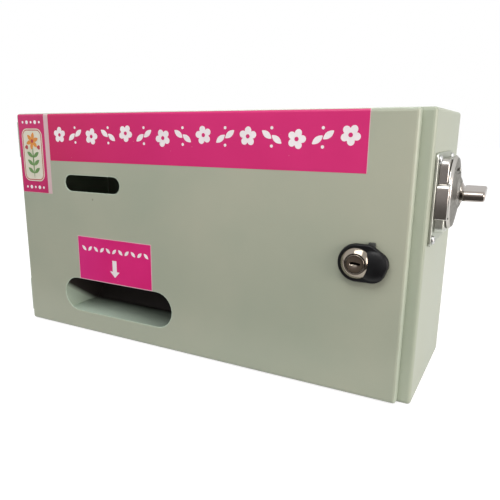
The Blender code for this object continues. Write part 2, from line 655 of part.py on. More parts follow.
def make_mechanism():
    """Coin mechanism outside the wall: plate, stepped housing with a coin cheek, cover disc and handle."""
    axis = (1, 0, 0)
    centre = (MECH_Y, PLATE_MIDDLE)
    bore_depth = DISC_OUTER + DISC_DOME - INNER_BODY_LEFT + 2 * OVERRUN

    def bore(name):
        return drum(name, SPINDLE_RADIUS + RUN_GAP, axis, (INNER_BODY_LEFT - OVERRUN, MECH_Y, MECH_HEIGHT),
                    bore_depth, steps=SMALL_STEPS)

    outline = rounded_rect(centre, (PLATE_DEPTH, PLATE_HEIGHT), PLATE_CORNER_RADIUS)
    plate = prism("mech_base_plate", outline, "X", PLATE_INNER, PLATE_OUTER, "chrome")
    cut(plate, bore("plate_bore"))
    outline = rounded_rect((MECH_Y, HOUSING_MIDDLE), (HOUSING_DEPTH, HOUSING_HEIGHT), HOUSING_CORNER_RADIUS)
    housing = prism("mech_housing", outline, "X", HOUSING_INNER, HOUSING_OUTER, "chrome")
    cheek_y = MECH_Y - PLATE_DEPTH / 2 + CHEEK_FRONT_INSET
    cheek_end = cheek_y + PLATE_DEPTH * CHEEK_DEPTH_SHARE
    cheek_top = MECH_HEIGHT + CHEEK_TOP_RISE
    round_corner = []
    for i in range(SMALL_STEPS // 4 + 1):
        angle = math.pi / 2 * i / (SMALL_STEPS // 4)
        round_corner.append((cheek_y + CHEEK_EDGE_RADIUS * (1 - math.sin(angle)),
                             cheek_top - CHEEK_EDGE_RADIUS * (1 - math.cos(angle))))
    cheek_low = cheek_top - CHEEK_HEIGHT
    side = round_corner + [(cheek_y, cheek_low), (cheek_end, cheek_low), (cheek_end, cheek_top)]
    cheek = prism("coin_cheek", side, "X", HOUSING_INNER, HOUSING_INNER + CHEEK_REACH)
    seat = drum("disc_seat", DISC_RADIUS + GAP, axis, (HOUSING_OUTER, MECH_Y, MECH_HEIGHT), DISC_THICKNESS)
    cut(cheek, seat)
    join(housing, cheek)
    cut(housing, bore("housing_bore"))
    shoulder = DISC_RADIUS - DISC_BEVEL
    profile = [(0, 0), (DISC_RADIUS, 0), (DISC_RADIUS, DISC_THICKNESS - DISC_BEVEL)]
    for i in range(DOME_STEPS):
        share = i / DOME_STEPS
        profile.append((shoulder + (NECK_RADIUS - shoulder) * share,
                        DISC_THICKNESS + DISC_DOME * math.sin(math.pi / 2 * share)))
    top = DISC_THICKNESS + DISC_DOME
    profile += [(NECK_RADIUS, top), (0, top)]
    disc = turned("mech_disc", profile, axis, (DISC_INNER, MECH_Y, MECH_HEIGHT), "chrome")
    slot_z = MECH_HEIGHT + COIN_SLOT_UP
    slot = block("coin_slot", (DISC_OUTER - COIN_SLOT_DEPTH, MECH_Y - COIN_SLOT_LENGTH / 2, slot_z),
                 (DISC_OUTER + DISC_DOME + OVERRUN, MECH_Y + COIN_SLOT_LENGTH / 2, slot_z + COIN_SLOT_WIDTH))
    cut(disc, bore("disc_bore"), slot)
    outline = rounded_rect(centre, (INNER_BODY_DEPTH, INNER_BODY_HEIGHT), HOUSING_CORNER_RADIUS)
    inner = prism("mech_inner_body", outline, "X", INNER_BODY_LEFT, INNER_BODY_RIGHT, "zinc_plate")
    low = PLATE_MIDDLE - INNER_BODY_HEIGHT / 2
    exit_notch = block("coin_exit", (INNER_BODY_RIGHT - COIN_CHUTE_DEPTH, MECH_Y - COIN_CHUTE_WIDTH / 2, low - OVERRUN),
                       (INNER_BODY_RIGHT + OVERRUN, MECH_Y + COIN_CHUTE_WIDTH / 2, low + COIN_EXIT_HEIGHT))
    cut(inner, bore("inner_bore"), exit_notch)
    for i, (y, z) in enumerate(mech_corners()):
        cut(plate, drum(f"plate_screw_hole_{i + 1}", SCREW_SHANK_RADIUS + GAP, axis,
                        (PLATE_INNER - OVERRUN, y, z), PLATE_THICKNESS + 2 * OVERRUN, steps=SMALL_STEPS))
        head_seat = PLATE_OUTER + GAP
        nut_at = WALL_INNER - GAP - NUT_THICKNESS
        make_screw(f"mech_screw_{i + 1}", axis, (head_seat, y, z), head_seat - nut_at + OVERRUN)
        make_nut(f"mech_nut_{i + 1}", axis, (nut_at, y, z), NUT_RADIUS, SCREW_SHANK_RADIUS, NUT_THICKNESS)


def make_handle():
    """Die-cast paddle on a round neck, tilted at rest as photographed."""
    axis = (1, 0, 0)
    handle = drum("mech_handle", NECK_RADIUS, axis, (HANDLE_INNER, MECH_Y, MECH_HEIGHT), NECK_LENGTH, "chrome")
    rings = []
    base = HANDLE_INNER + NECK_LENGTH / 2
    tip = HANDLE_INNER + NECK_LENGTH + PADDLE_LENGTH
    corner = PADDLE_EDGE_RADIUS
    levels = [(base, 0)] + [(tip - corner * short, corner * inset) for short, inset in EDGE_SHARES]
    for level, inset in levels:
        outline = rounded_rect((0, 0), (PADDLE_WIDTH - 2 * inset, PADDLE_THICKNESS - 2 * inset), PADDLE_SIDE_RADIUS)
        ring = []
        for y, z in outline:
            turned_y = y * math.cos(PADDLE_REST_TILT) - z * math.sin(PADDLE_REST_TILT)
            turned_z = y * math.sin(PADDLE_REST_TILT) + z * math.cos(PADDLE_REST_TILT)
            ring.append((level, MECH_Y + turned_y, MECH_HEIGHT + turned_z))
        rings.append(ring)
    join(handle, place("handle_paddle", loft_mesh("handle_paddle", rings), None))
    cut(handle, drum("handle_bore", SPINDLE_RADIUS + GAP, axis, (HANDLE_INNER - OVERRUN, MECH_Y, MECH_HEIGHT),
                     SPINDLE_SEAT + OVERRUN + GAP, steps=SMALL_STEPS))


def lobe_outline(radius, lobe_radius, offset, inset, steps=24):
    """Convex outline round two discs, the second one to the right and leaning down, drawn in by the inset."""
    lean = math.acos((radius - lobe_radius) / offset)
    points = []
    for i in range(steps + 1):
        angle = -lean + 2 * lean * i / steps
        points.append((offset + (lobe_radius - inset) * math.cos(angle), (lobe_radius - inset) * math.sin(angle)))
    for i in range(steps + 1):
        angle = lean + 2 * (math.pi - lean) * i / steps
        points.append(((radius - inset) * math.cos(angle), (radius - inset) * math.sin(angle)))
    cosine, sine = math.cos(TURN_LOBE_LEAN), math.sin(TURN_LOBE_LEAN)
    return [(x * cosine - z * sine, x * sine + z * cosine) for x, z in points]


def make_lock():
    out = (0, -1, 0)
    x, face, z = LOCK_AT
    base_top = GAP + BASE_THICKNESS
    hole = LOCK_HOLE_RADIUS
    base = drum("lock_base", BASE_RADIUS, out, LOCK_AT + Vector((0, -GAP, 0)), BASE_THICKNESS, "black_moulding")
    tab = block("lock_tab", (x + BASE_TAB_RIGHT - BASE_TAB_WIDTH, face - base_top, z),
                (x + BASE_TAB_RIGHT, face - GAP, z + BASE_TAB_TOP))
    join(base, tab)
    cut(base, drum("base_hole", hole, out, LOCK_AT + Vector((0, OVERRUN, 0)), base_top + 2 * OVERRUN))

    turn_low = base_top + RUN_GAP
    turn_top = turn_low + TURN_THICKNESS
    edge = TURN_EDGE_RADIUS
    rings = []
    levels = [(turn_low, 0)] + [(turn_top - edge * short, edge * inset) for short, inset in EDGE_SHARES]
    for level, inset in levels:
        outline = lobe_outline(TURN_RADIUS, TURN_LOBE_RADIUS, TURN_LOBE_OFFSET, inset)
        rings.append([(x + px, face - level, z + pz) for px, pz in outline])
    turn = place("lock_thumb_turn", loft_mesh("lock_thumb_turn", rings), "black_moulding", True)
    crown_radius = TURN_LOBE_RADIUS - edge / 2
    crown_low = TURN_THICKNESS / 2
    crown = [(0, 0)]
    for i in range(CROWN_STEPS + 1):
        angle = math.pi / 2 * i / CROWN_STEPS
        crown.append((crown_radius * math.cos(angle), crown_low + TURN_LOBE_RISE * math.sin(angle)))
    crown[1] = (crown_radius, 0)
    crown[-1] = (0, crown_low + TURN_LOBE_RISE)
    lobe_at = Vector((TURN_LOBE_OFFSET * math.cos(TURN_LOBE_LEAN), -turn_low - crown_low,
                      TURN_LOBE_OFFSET * math.sin(TURN_LOBE_LEAN)))
    dome = turned("lobe_dome", crown, out, LOCK_AT + lobe_at)
    head_seat = drum("head_seat", HEAD_RADIUS + 2 * GAP, out, LOCK_AT + Vector((0, -turn_top, 0)),
                     TURN_THICKNESS + TURN_LOBE_RISE)
    stem_hole = drum("stem_hole", STEM_RADIUS + GAP, out, LOCK_AT, turn_top + OVERRUN)
    join(turn, dome)
    cut(turn, head_seat, stem_hole)

    skirt = turn_top + GAP
    head_top = skirt + HEAD_HEIGHT
    barrel_end = base_top - BARREL_LENGTH
    tail_end = barrel_end - RUN_GAP
    plug_seat = PLUG_RADIUS + RUN_GAP
    plug_floor = turn_low + PLUG_FLOOR
    screw_hole = CAM_SCREW_RADIUS + GAP
    screw_floor = tail_end + CAM_SCREW_LENGTH
    turned("lock_cylinder", [(0, screw_floor), (screw_hole, screw_floor), (screw_hole, tail_end),
                             (TAIL_RADIUS, tail_end), (TAIL_RADIUS, turn_low), (STEM_RADIUS, turn_low),
                             (STEM_RADIUS, skirt), (HEAD_RADIUS, skirt), (HEAD_RADIUS, skirt + HEAD_SKIRT),
                             (HEAD_FACE_RADIUS, head_top), (plug_seat, head_top), (plug_seat, plug_floor),
                             (0, plug_floor)], out, LOCK_AT, "chrome")
    plug_low = plug_floor + RUN_GAP
    plug_top = head_top + PLUG_PROUD
    plug = drum("lock_plug", PLUG_RADIUS, out, LOCK_AT + Vector((0, -plug_low, 0)), plug_top - plug_low, "nickel")
    keyway = block("keyway", (x - KEYWAY_LENGTH / 2, face - plug_top - OVERRUN, z - KEYWAY_WIDTH / 2),
                   (x + KEYWAY_LENGTH / 2, face - plug_top + KEYWAY_DEPTH, z + KEYWAY_WIDTH / 2))
    cut(plug, keyway)

    turned("lock_barrel", [(TAIL_RADIUS + RUN_GAP, barrel_end), (hole - GAP, barrel_end), (hole - GAP, base_top),
                           (TAIL_RADIUS + RUN_GAP, base_top)], out, LOCK_AT, "zinc_plate")
    nut_y = DOOR_FACE + DOOR_SHEET + GAP
    make_nut("lock_nut", (0, 1, 0), (x, nut_y, z), LOCK_NUT_RADIUS, hole - GAP, LOCK_NUT_THICKNESS)

    tail_y = face - tail_end + GAP
    tip_y = FLANGE_FACE + SHEET + CAM_FLANGE_GAP
    path = [(tail_y, z + CAM_HEEL), (tail_y, z - CAM_CRANK_START), (tip_y, z - CAM_CRANK_END), (tip_y, z - CAM_REACH)]
    cam = prism("lock_cam", fold(path, CAM_THICKNESS), "X", x - CAM_WIDTH / 2, x + CAM_WIDTH / 2, "zinc_plate")
    cut(cam, drum("cam_hole", screw_hole, (0, 1, 0), (x, tail_y - OVERRUN, z), CAM_THICKNESS + 2 * OVERRUN,
                  steps=SMALL_STEPS))
    make_screw("cam_screw", (0, 1, 0), (x, tail_y + CAM_THICKNESS + GAP, z),
               CAM_THICKNESS + 2 * GAP + CAM_SCREW_LENGTH - RUN_GAP)


def main():
    clear_scene()
    make_cabinet()
    make_back_panel()
    make_door()
    make_hinge("lower", BOTTOM + HINGE_END_INSET)
    make_hinge("upper", TOP - HINGE_END_INSET)
    make_tray()
    make_partition()
    make_drop_chute()
    make_coin_path()
    make_coil()
    make_drive()
    make_mechanism()
    make_handle()
    make_lock()


main()
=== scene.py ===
import json
import math

import bpy
import numpy as np
from mathutils import Matrix, Vector


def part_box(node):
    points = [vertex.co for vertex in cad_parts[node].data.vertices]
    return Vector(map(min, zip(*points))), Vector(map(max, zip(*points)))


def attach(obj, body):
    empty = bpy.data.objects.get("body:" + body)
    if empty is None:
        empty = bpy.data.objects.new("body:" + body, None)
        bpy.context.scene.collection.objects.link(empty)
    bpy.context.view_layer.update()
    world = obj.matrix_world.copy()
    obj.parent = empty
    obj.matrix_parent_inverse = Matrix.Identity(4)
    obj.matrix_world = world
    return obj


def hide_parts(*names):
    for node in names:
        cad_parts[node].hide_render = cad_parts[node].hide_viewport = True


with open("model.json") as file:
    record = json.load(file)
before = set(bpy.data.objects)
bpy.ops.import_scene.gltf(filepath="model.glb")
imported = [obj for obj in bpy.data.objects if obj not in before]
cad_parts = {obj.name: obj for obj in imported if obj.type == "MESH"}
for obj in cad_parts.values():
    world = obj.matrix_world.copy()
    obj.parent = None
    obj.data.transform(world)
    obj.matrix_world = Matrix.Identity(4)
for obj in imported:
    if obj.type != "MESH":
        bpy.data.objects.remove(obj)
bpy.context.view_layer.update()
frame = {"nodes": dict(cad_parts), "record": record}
print("stage: frame loaded")

nodes = frame["nodes"]
bodyLow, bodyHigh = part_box("cabinet_body")
doorLow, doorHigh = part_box("door_panel")
left, bottom, top = bodyLow.x, bodyLow.z, bodyHigh.z
doorFace = doorLow.y
fullTurn = 2 * math.pi
quarterTurn = math.pi / 2


# shader helpers

def plug(tree, socket, value):
    # a socket is linked, a plain value is set, and a colour gets its alpha
    if isinstance(value, bpy.types.NodeSocket):
        tree.links.new(value, socket)
    elif socket.type == "RGBA" and len(value) == 3:
        socket.default_value = (*value, 1.0)
    else:
        socket.default_value = value


def addNode(tree, kind, **settings):
    # a setting that names an input is plugged in, and any other is the node's own
    node = tree.nodes.new("ShaderNode" + kind)
    for key, value in settings.items():
        if key in node.inputs:
            plug(tree, node.inputs[key], value)
        else:
            setattr(node, key, value)
    return node


def mixColours(tree, factor, first, second, blend="MIX"):
    # the colour sockets of the node are its inputs 6 and 7
    node = addNode(tree, "Mix", data_type="RGBA", blend_type=blend)
    for index, value in ((0, factor), (6, first), (7, second)):
        plug(tree, node.inputs[index], value)
    return node.outputs[2]


def calc(tree, operation, *values, kind="Math"):
    node = addNode(tree, kind, operation=operation)
    for socket, value in zip(node.inputs, values):
        plug(tree, socket, value)
    return node.outputs["Value" if operation == "DOT_PRODUCT" else 0]


def remap(tree, value, low, high, newLow=0.0, newHigh=1.0):
    node = addNode(tree, "MapRange")
    for socket, number in zip(node.inputs, (value, low, high, newLow, newHigh)):
        plug(tree, socket, number)
    return node.outputs[0]


def spread(tree, noise, low, high):
    # draws out the middle of a noise's range between two values
    return remap(tree, noise, 0.3, 0.7, low, high)


def splitUp(tree, vector):
    return addNode(tree, "SeparateXYZ", Vector=vector).outputs


def startGroup(name, outputs, **inputs):
    # besides Vector, each input is a number or a vector, and each output is a number
    tree = bpy.data.node_groups.new(name, "ShaderNodeTree")
    for label, value in {"Vector": (0, 0, 0), **inputs}.items():
        kind = "NodeSocketFloat" if isinstance(value, float) else "NodeSocketVector"
        tree.interface.new_socket(label, in_out="INPUT", socket_type=kind).default_value = value
    for label in outputs:
        tree.interface.new_socket(label, in_out="OUTPUT", socket_type="NodeSocketFloat")
    return tree, tree.nodes.new("NodeGroupInput").outputs, tree.nodes.new("NodeGroupOutput").inputs


def makeCoatGroup():
    # powder coat: slow mottling of tone, and the fine orange peel of the sprayed skin
    tree, start, end = startGroup("coatSkin", ("Mottle", "Peel"), MottleScale=9.0, PeelScale=900.0)
    place = start["Vector"]
    slow = addNode(tree, "TexNoise", Vector=place, Scale=start["MottleScale"], Detail=4.0, Roughness=0.55)
    fine = addNode(tree, "TexNoise", Vector=place, Scale=start["PeelScale"], Detail=2.0, Roughness=0.5)
    cell = addNode(tree, "TexVoronoi", feature="SMOOTH_F1", Vector=place, Scale=start["PeelScale"])
    plug(tree, end["Mottle"], slow.outputs["Fac"])
    plug(tree, end["Peel"], calc(tree, "ADD", calc(tree, "MULTIPLY", fine.outputs["Fac"], 0.6),
                                 calc(tree, "MULTIPLY", cell.outputs["Distance"], 0.4)))
    return tree


def makeSpeckGroup():
    # sparse round specks: one in some of the cells, its size drawn for each cell
    tree, start, end = startGroup("dustSpecks", ("Mask",), Scale=60.0, Size=0.06, Share=0.08)
    cell = addNode(tree, "TexVoronoi", Vector=start["Vector"], Scale=start["Scale"])
    drawn = addNode(tree, "SeparateColor", Color=cell.outputs["Color"]).outputs
    chosen = calc(tree, "LESS_THAN", drawn[0], start["Share"])
    size = calc(tree, "MULTIPLY", start["Size"], calc(tree, "ADD", drawn[1], 0.35))
    near = calc(tree, "LESS_THAN", cell.outputs["Distance"], size)
    plug(tree, end["Mask"], calc(tree, "MULTIPLY", chosen, near))
    return tree


def makeBrushGroup():
    # fine parallel lines: noise squeezed along two axes and drawn out along the third
    tree, start, end = startGroup("brushLines", ("Lines", "Smudge"), Squeeze=(40.0, 900.0, 900.0))
    scaled = calc(tree, "MULTIPLY", start["Vector"], start["Squeeze"], kind="VectorMath")
    lines = addNode(tree, "TexNoise", Vector=scaled, Scale=1.0, Detail=3.0)
    smudge = addNode(tree, "TexNoise", Vector=start["Vector"], Scale=70.0, Detail=5.0, Roughness=0.6)
    plug(tree, end["Lines"], lines.outputs["Fac"])
    plug(tree, end["Smudge"], smudge.outputs["Fac"])
    return tree


def endMask(tree, end, distance, reach):
    # 1 at no distance, falling to 0 at the reach
    mask = calc(tree, "SUBTRACT", 1.0, calc(tree, "DIVIDE", distance, reach))
    plug(tree, end["Mask"], addNode(tree, "Clamp", Value=mask).outputs[0])


def makeRimGroup():
    # how near a point is to the rim of a box in X and Z, roughened by noise
    tree, start, end = startGroup("rimWear", ("Mask",), Centre=(0, 0, 0), HalfSize=(0.2, 0.2, 0.2), Reach=0.003)
    off = calc(tree, "SUBTRACT", start["Vector"], start["Centre"], kind="VectorMath")
    size = calc(tree, "ABSOLUTE", off, kind="VectorMath")
    rest = splitUp(tree, calc(tree, "SUBTRACT", start["HalfSize"], size, kind="VectorMath"))
    noise = addNode(tree, "TexNoise", Vector=start["Vector"], Scale=120.0, Detail=4.0)
    reach = calc(tree, "MULTIPLY", start["Reach"], calc(tree, "MULTIPLY", noise.outputs["Fac"], 2.0))
    endMask(tree, end, calc(tree, "MINIMUM", rest[0], rest[2]), reach)
    return tree


def makeLipGroup():
    # a thin line round the outline of a slot with round ends
    tree, start, end = startGroup("slotLip", ("Mask",), Centre=(0, 0, 0), Straight=0.03, Radius=0.01, Reach=0.001)
    off = splitUp(tree, calc(tree, "SUBTRACT", start["Vector"], start["Centre"], kind="VectorMath"))
    past = calc(tree, "SUBTRACT", calc(tree, "ABSOLUTE", off[0]), start["Straight"])
    past = calc(tree, "MAXIMUM", past, 0.0)
    squares = calc(tree, "ADD", calc(tree, "POWER", past, 2.0), calc(tree, "MULTIPLY", off[2], off[2]))
    gap = calc(tree, "SUBTRACT", calc(tree, "SQRT", squares), start["Radius"])
    endMask(tree, end, calc(tree, "ABSOLUTE", gap), start["Reach"])
    return tree


coatGroup = makeCoatGroup()
lipGroup = makeLipGroup()
speckGroup = makeSpeckGroup()
brushGroup = makeBrushGroup()
rimGroup = makeRimGroup()


def newMaterial(name):
    material = bpy.data.materials.new(name)
    material.use_nodes = True
    tree = material.node_tree
    return material, tree, addNode(tree, "TexCoord").outputs["Object"]


def useGroup(tree, group, place, **values):
    return addNode(tree, "Group", node_tree=group, Vector=place, **values).outputs


def useCoat(tree, place, mottleScale, peelScale):
    coat = useGroup(tree, coatGroup, place, MottleScale=mottleScale, PeelScale=peelScale)
    return coat["Mottle"], coat["Peel"]


def stain(tree, colour, tint, mask, amount):
    return mixColours(tree, calc(tree, "MULTIPLY", mask, amount), colour, tint)


def speckle(tree, place, colour, tint, amount, **values):
    return stain(tree, colour, tint, useGroup(tree, speckGroup, place, **values)["Mask"], amount)


def bumped(tree, height, strength, distance):
    return addNode(tree, "Bump", Height=height, Strength=strength, Distance=distance).outputs[0]


def dress(tree, **values):
    # plugs into the inputs of the shader, whose names are written here without their spaces
    shader = tree.nodes["Principled BSDF"]
    names = {key.replace(" ", ""): key for key in shader.inputs.keys()}
    for key, value in values.items():
        plug(tree, shader.inputs[names[key]], value)


def paintMaterial(name, **changes):
    look = {**paintLook, **changes}
    material, tree, place = newMaterial(name)
    mottle, peel = useCoat(tree, place, look["mottleScale"], look["peelScale"])
    colour = mixColours(tree, spread(tree, mottle, 0.0, 1.0), look["shade"], look["light"])
    colour = speckle(tree, place, colour, look["grime"], 0.55, Scale=look["speckScale"], Size=0.05, Share=0.05)
    colour = speckle(tree, place, colour, look["dust"], 0.6, Scale=look["speckScale"] * 0.73, Size=0.035, Share=0.02)
    # painted highlight: a pale tint along the door's edges, where the bend catches the light
    if "rim" in look:
        rim = useGroup(tree, rimGroup, place, **look["rim"])["Mask"]
        colour = stain(tree, colour, look["rimTint"], rim, look["rimAmount"])
    # painted highlight: a pale line round the cut edge of each slot
    for centre, straight, radius in look.get("slots", ()):
        lip = useGroup(tree, lipGroup, place, Centre=centre, Straight=straight, Radius=radius, Reach=look["lipReach"])
        colour = stain(tree, colour, look["rimTint"], lip["Mask"], look["lipAmount"])
    for heading, low, high, amount in look.get("fade", ()):
        # painted shade: the dark shade tone takes over along a heading, between two distances from the origin
        along = calc(tree, "DOT_PRODUCT", place, heading, kind="VectorMath")
        ragged = calc(tree, "ADD", along, spread(tree, mottle, -0.002, 0.002))
        colour = mixColours(tree, remap(tree, ragged, low, high, 0.0, amount), colour, look["bare"])
    dress(tree, BaseColor=colour, CoatWeight=look["coat"], CoatRoughness=0.22,
          Roughness=spread(tree, mottle, look["roughness"] - 0.05, look["roughness"] + 0.06),
          Normal=bumped(tree, peel, look["peel"], 0.00012))
    return material


def metalMaterial(name, **look):
    material, tree, place = newMaterial(name)
    brush = useGroup(tree, brushGroup, place, Squeeze=look["squeeze"])
    lines, smudge = brush["Lines"], brush["Smudge"]
    colour = mixColours(tree, smudge, look["shade"], look["light"])
    pits = {"Scale": look["pitScale"], "Size": 0.08, "Share": 0.10}
    colour = speckle(tree, place, colour, look["pitTint"], look["pits"], **pits)
    if "grit" in look:
        # cast grain: fine ragged light and dark, a few grains to the millimetre
        grain = addNode(tree, "TexNoise", Vector=place, Scale=look["gritScale"], Detail=3.0, Roughness=0.65)
        grain = grain.outputs["Fac"]
        tone = remap(tree, grain, 0.38, 0.62, 1.0 - look["grit"], 1.0 + look["grit"])
        colour = mixColours(tree, 1.0, colour, tone, "MULTIPLY")
        relief = bumped(tree, grain, look["gritBump"], 0.00030)
    else:
        relief = bumped(tree, lines, look["lineBump"], 0.00004)
    # painted shade: below the depths given by recess, the colour turns almost black, the shade deep inside the keyway
    if "recess" in look:
        depth = remap(tree, splitUp(tree, place)[1], *look["recess"])
        colour = mixColours(tree, depth, colour, look["recessTint"])
    lineRough, smudgeRough = look["lineRough"], look["smudgeRough"]
    rough = calc(tree, "ADD", calc(tree, "MULTIPLY", lines, lineRough), calc(tree, "MULTIPLY", smudge, smudgeRough))
    dress(tree, BaseColor=colour, Metallic=look.get("bright", 1.0), Normal=relief,
          SpecularIORLevel=look.get("gloss", 0.5), SpecularTint=look.get("grazeTint", (1.0, 1.0, 1.0)),
          Roughness=calc(tree, "ADD", rough, look["roughness"] - 0.5 * (lineRough + smudgeRough)))
    return material


def plasticMaterial(name, **look):
    material, tree, place = newMaterial(name)
    mottle, peel = useCoat(tree, place, 80.0, look["grainScale"])
    colour = mixColours(tree, remap(tree, mottle, 0.35, 0.7), look["shade"], look["light"])
    colour = speckle(tree, place, colour, (0.12, 0.12, 0.11), look["dust"], Scale=700.0, Size=0.10, Share=0.10)
    dress(tree, BaseColor=colour, SpecularIORLevel=look["gloss"],
          Roughness=spread(tree, mottle, look["roughness"] - 0.06, look["roughness"] + 0.08),
          Normal=bumped(tree, peel, look["grain"], 0.00008))
    return material


def vinylMaterial(name, light, shade, fadeScale, sweep=None, borders=(), border=None):
    # printed vinyl: flat ink with slow fading, a pale cut border and a faint sheen
    material, tree, place = newMaterial(name)
    mottle, peel = useCoat(tree, place, fadeScale, 500.0)
    colour = mixColours(tree, spread(tree, mottle, 0.0, 1.0), shade, light)
    parts = splitUp(tree, place)
    if sweep:
        low, high, tint = sweep
        colour = mixColours(tree, remap(tree, parts[0], low, high, 1.0, 0.0), colour, tint)
    for axis, low, high in borders:
        below, above = calc(tree, "LESS_THAN", parts[axis], low), calc(tree, "GREATER_THAN", parts[axis], high)
        colour = mixColours(tree, calc(tree, "MAXIMUM", below, above), colour, border)
    colour = speckle(tree, place, colour, (0.75, 0.62, 0.66), 0.35, Scale=240.0, Size=0.06, Share=0.05)
    dress(tree, BaseColor=colour, Roughness=spread(tree, mottle, 0.30, 0.42),
          Normal=bumped(tree, peel, 0.12, 0.00005))
    return material


paintLook = {
    "light": (0.400, 0.415, 0.322), "shade": (0.335, 0.374, 0.290), "grime": (0.16, 0.15, 0.11),
    "dust": (0.62, 0.62, 0.55), "mottleScale": 6.0, "peelScale": 950.0, "peel": 0.22, "speckScale": 42.0,
    "roughness": 0.44, "coat": 0.12}
# the door's edges and slot rims carry a painted highlight
doorPaint = paintMaterial(
    "doorPaint", rimAmount=0.35, rimTint=(0.50, 0.64, 0.53), lipReach=0.0012, lipAmount=0.6,
    rim={"Centre": (doorLow + doorHigh) / 2, "HalfSize": (doorHigh - doorLow) / 2, "Reach": 0.0022},
    slots=[((left + 0.111, doorFace, top - 0.076), 0.0305, 0.009),
           ((left + 0.1378, doorFace, bottom + 0.0443), 0.05705, 0.0197)])
cabinetPaint = paintMaterial(
    "cabinetPaint", light=(0.385, 0.425, 0.330), shade=(0.330, 0.380, 0.292), mottleScale=8.0)
insidePaint = paintMaterial("insidePaint", light=(0.42, 0.46, 0.37), shade=(0.36, 0.40, 0.32), speckScale=60.0)
# painted shadow: behind a plane that slopes down inwards from the slot's top edge, the chute's colour turns to the
# dark shade tone
chuteSlope = 0.675
chuteEdge = chuteSlope * doorFace + bottom + 0.0525
# the chute's paint is lighter than the door's, as painted light for what falls in through the slot; it also darkens
# towards the right as painted shade
chutePaint = paintMaterial(
    "chutePaint", light=(0.57, 0.69, 0.58), shade=(0.51, 0.62, 0.51), speckScale=60.0, bare=(0.034, 0.028, 0.026),
    fade=[((1.0, 0.0, 0.0), left + 0.11, left + 0.23, 0.70),
          ((0.0, chuteSlope, 1.0), chuteEdge, chuteEdge + 0.0075, 1.0)])
chromeMetal = metalMaterial(
    "chromeMetal", light=(0.62, 0.60, 0.57), shade=(0.46, 0.44, 0.41), squeeze=(260.0, 260.0, 40.0), pitScale=420.0,
    pits=0.35, pitTint=(0.28, 0.24, 0.20), roughness=0.17, lineRough=0.05, smudgeRough=0.16, lineBump=0.10,
    grazeTint=(0.66, 0.66, 0.63))
lockChrome = metalMaterial(
    "lockChrome", light=(0.36, 0.32, 0.27), shade=(0.25, 0.215, 0.175), squeeze=(300.0, 60.0, 300.0), pitScale=800.0,
    pits=0.25, pitTint=(0.30, 0.25, 0.20), roughness=0.14, lineRough=0.05, smudgeRough=0.12, lineBump=0.06)
# the plug's keyway darkens to near black under its face, as painted shade
nickelMetal = metalMaterial(
    "nickelMetal", light=(0.36, 0.30, 0.24), shade=(0.20, 0.16, 0.12), squeeze=(900.0, 200.0, 900.0), pitScale=900.0,
    pits=0.45, pitTint=(0.16, 0.12, 0.09), roughness=0.34, lineRough=0.12, smudgeRough=0.14, lineBump=0.35,
    recess=(doorFace - 0.0096, doorFace - 0.0086), recessTint=(0.012, 0.010, 0.008))
plateMetal = metalMaterial(
    "plateMetal", light=(0.66, 0.69, 0.63), shade=(0.50, 0.52, 0.47), squeeze=(300.0, 300.0, 60.0), pitScale=420.0,
    pits=0.40, pitTint=(0.22, 0.20, 0.17), roughness=0.40, lineRough=0.08, smudgeRough=0.20, lineBump=0.20,
    grazeTint=(0.54, 0.55, 0.51))
zincMetal = metalMaterial(
    "zincMetal", light=(0.66, 0.67, 0.66), shade=(0.46, 0.47, 0.47), squeeze=(200.0, 200.0, 200.0), pitScale=260.0,
    pits=0.30, pitTint=(0.30, 0.30, 0.28), roughness=0.36, lineRough=0.10, smudgeRough=0.18, lineBump=0.15)
wireMetal = metalMaterial(
    "wireMetal", light=(0.62, 0.63, 0.64), shade=(0.42, 0.43, 0.44), squeeze=(60.0, 500.0, 500.0), pitScale=300.0,
    pits=0.20, pitTint=(0.25, 0.24, 0.22), roughness=0.28, lineRough=0.08, smudgeRough=0.12, lineBump=0.12)
castMetal = metalMaterial(
    "castMetal", light=(0.395, 0.395, 0.375), shade=(0.345, 0.345, 0.325), squeeze=(700.0, 700.0, 700.0),
    pitScale=900.0, pits=0.55, pitTint=(0.16, 0.15, 0.13), roughness=0.32, lineRough=0.10, smudgeRough=0.22,
    grit=0.26, gritScale=620.0, gritBump=0.55, bright=0.78, gloss=0.08, grazeTint=(0.30, 0.30, 0.285))
handleMetal = metalMaterial(
    "handleMetal", light=(0.40, 0.36, 0.33), shade=(0.31, 0.28, 0.25), squeeze=(60.0, 400.0, 400.0), pitScale=500.0,
    pits=0.30, pitTint=(0.26, 0.22, 0.18), roughness=0.15, lineRough=0.04, smudgeRough=0.14, lineBump=0.08)
blackPlastic = plasticMaterial(
    "blackPlastic", light=(0.011, 0.012, 0.013), shade=(0.006, 0.006, 0.007), grainScale=1500.0, grain=0.25,
    roughness=0.38, dust=0.16, gloss=0.22)
tabPlastic = plasticMaterial(
    "tabPlastic", light=(0.060, 0.064, 0.060), shade=(0.035, 0.037, 0.035), grainScale=1500.0, grain=0.3,
    roughness=0.45, dust=0.35, gloss=0.40)
rubberPad = plasticMaterial(
    "rubberPad", light=(0.035, 0.034, 0.033), shade=(0.018, 0.018, 0.018), grainScale=900.0, grain=0.45,
    roughness=0.78, dust=0.35, gloss=0.40)
print("stage: materials made")


# mesh helpers

def addObject(name, data):
    item = bpy.data.objects.new(name, data)
    bpy.context.scene.collection.objects.link(item)
    return item


def addMesh(name, points, faces):
    mesh = bpy.data.meshes.new(name)
    mesh.from_pydata(np.asarray(points, float).tolist(), [], faces)
    mesh.update()
    return addObject(name, mesh)


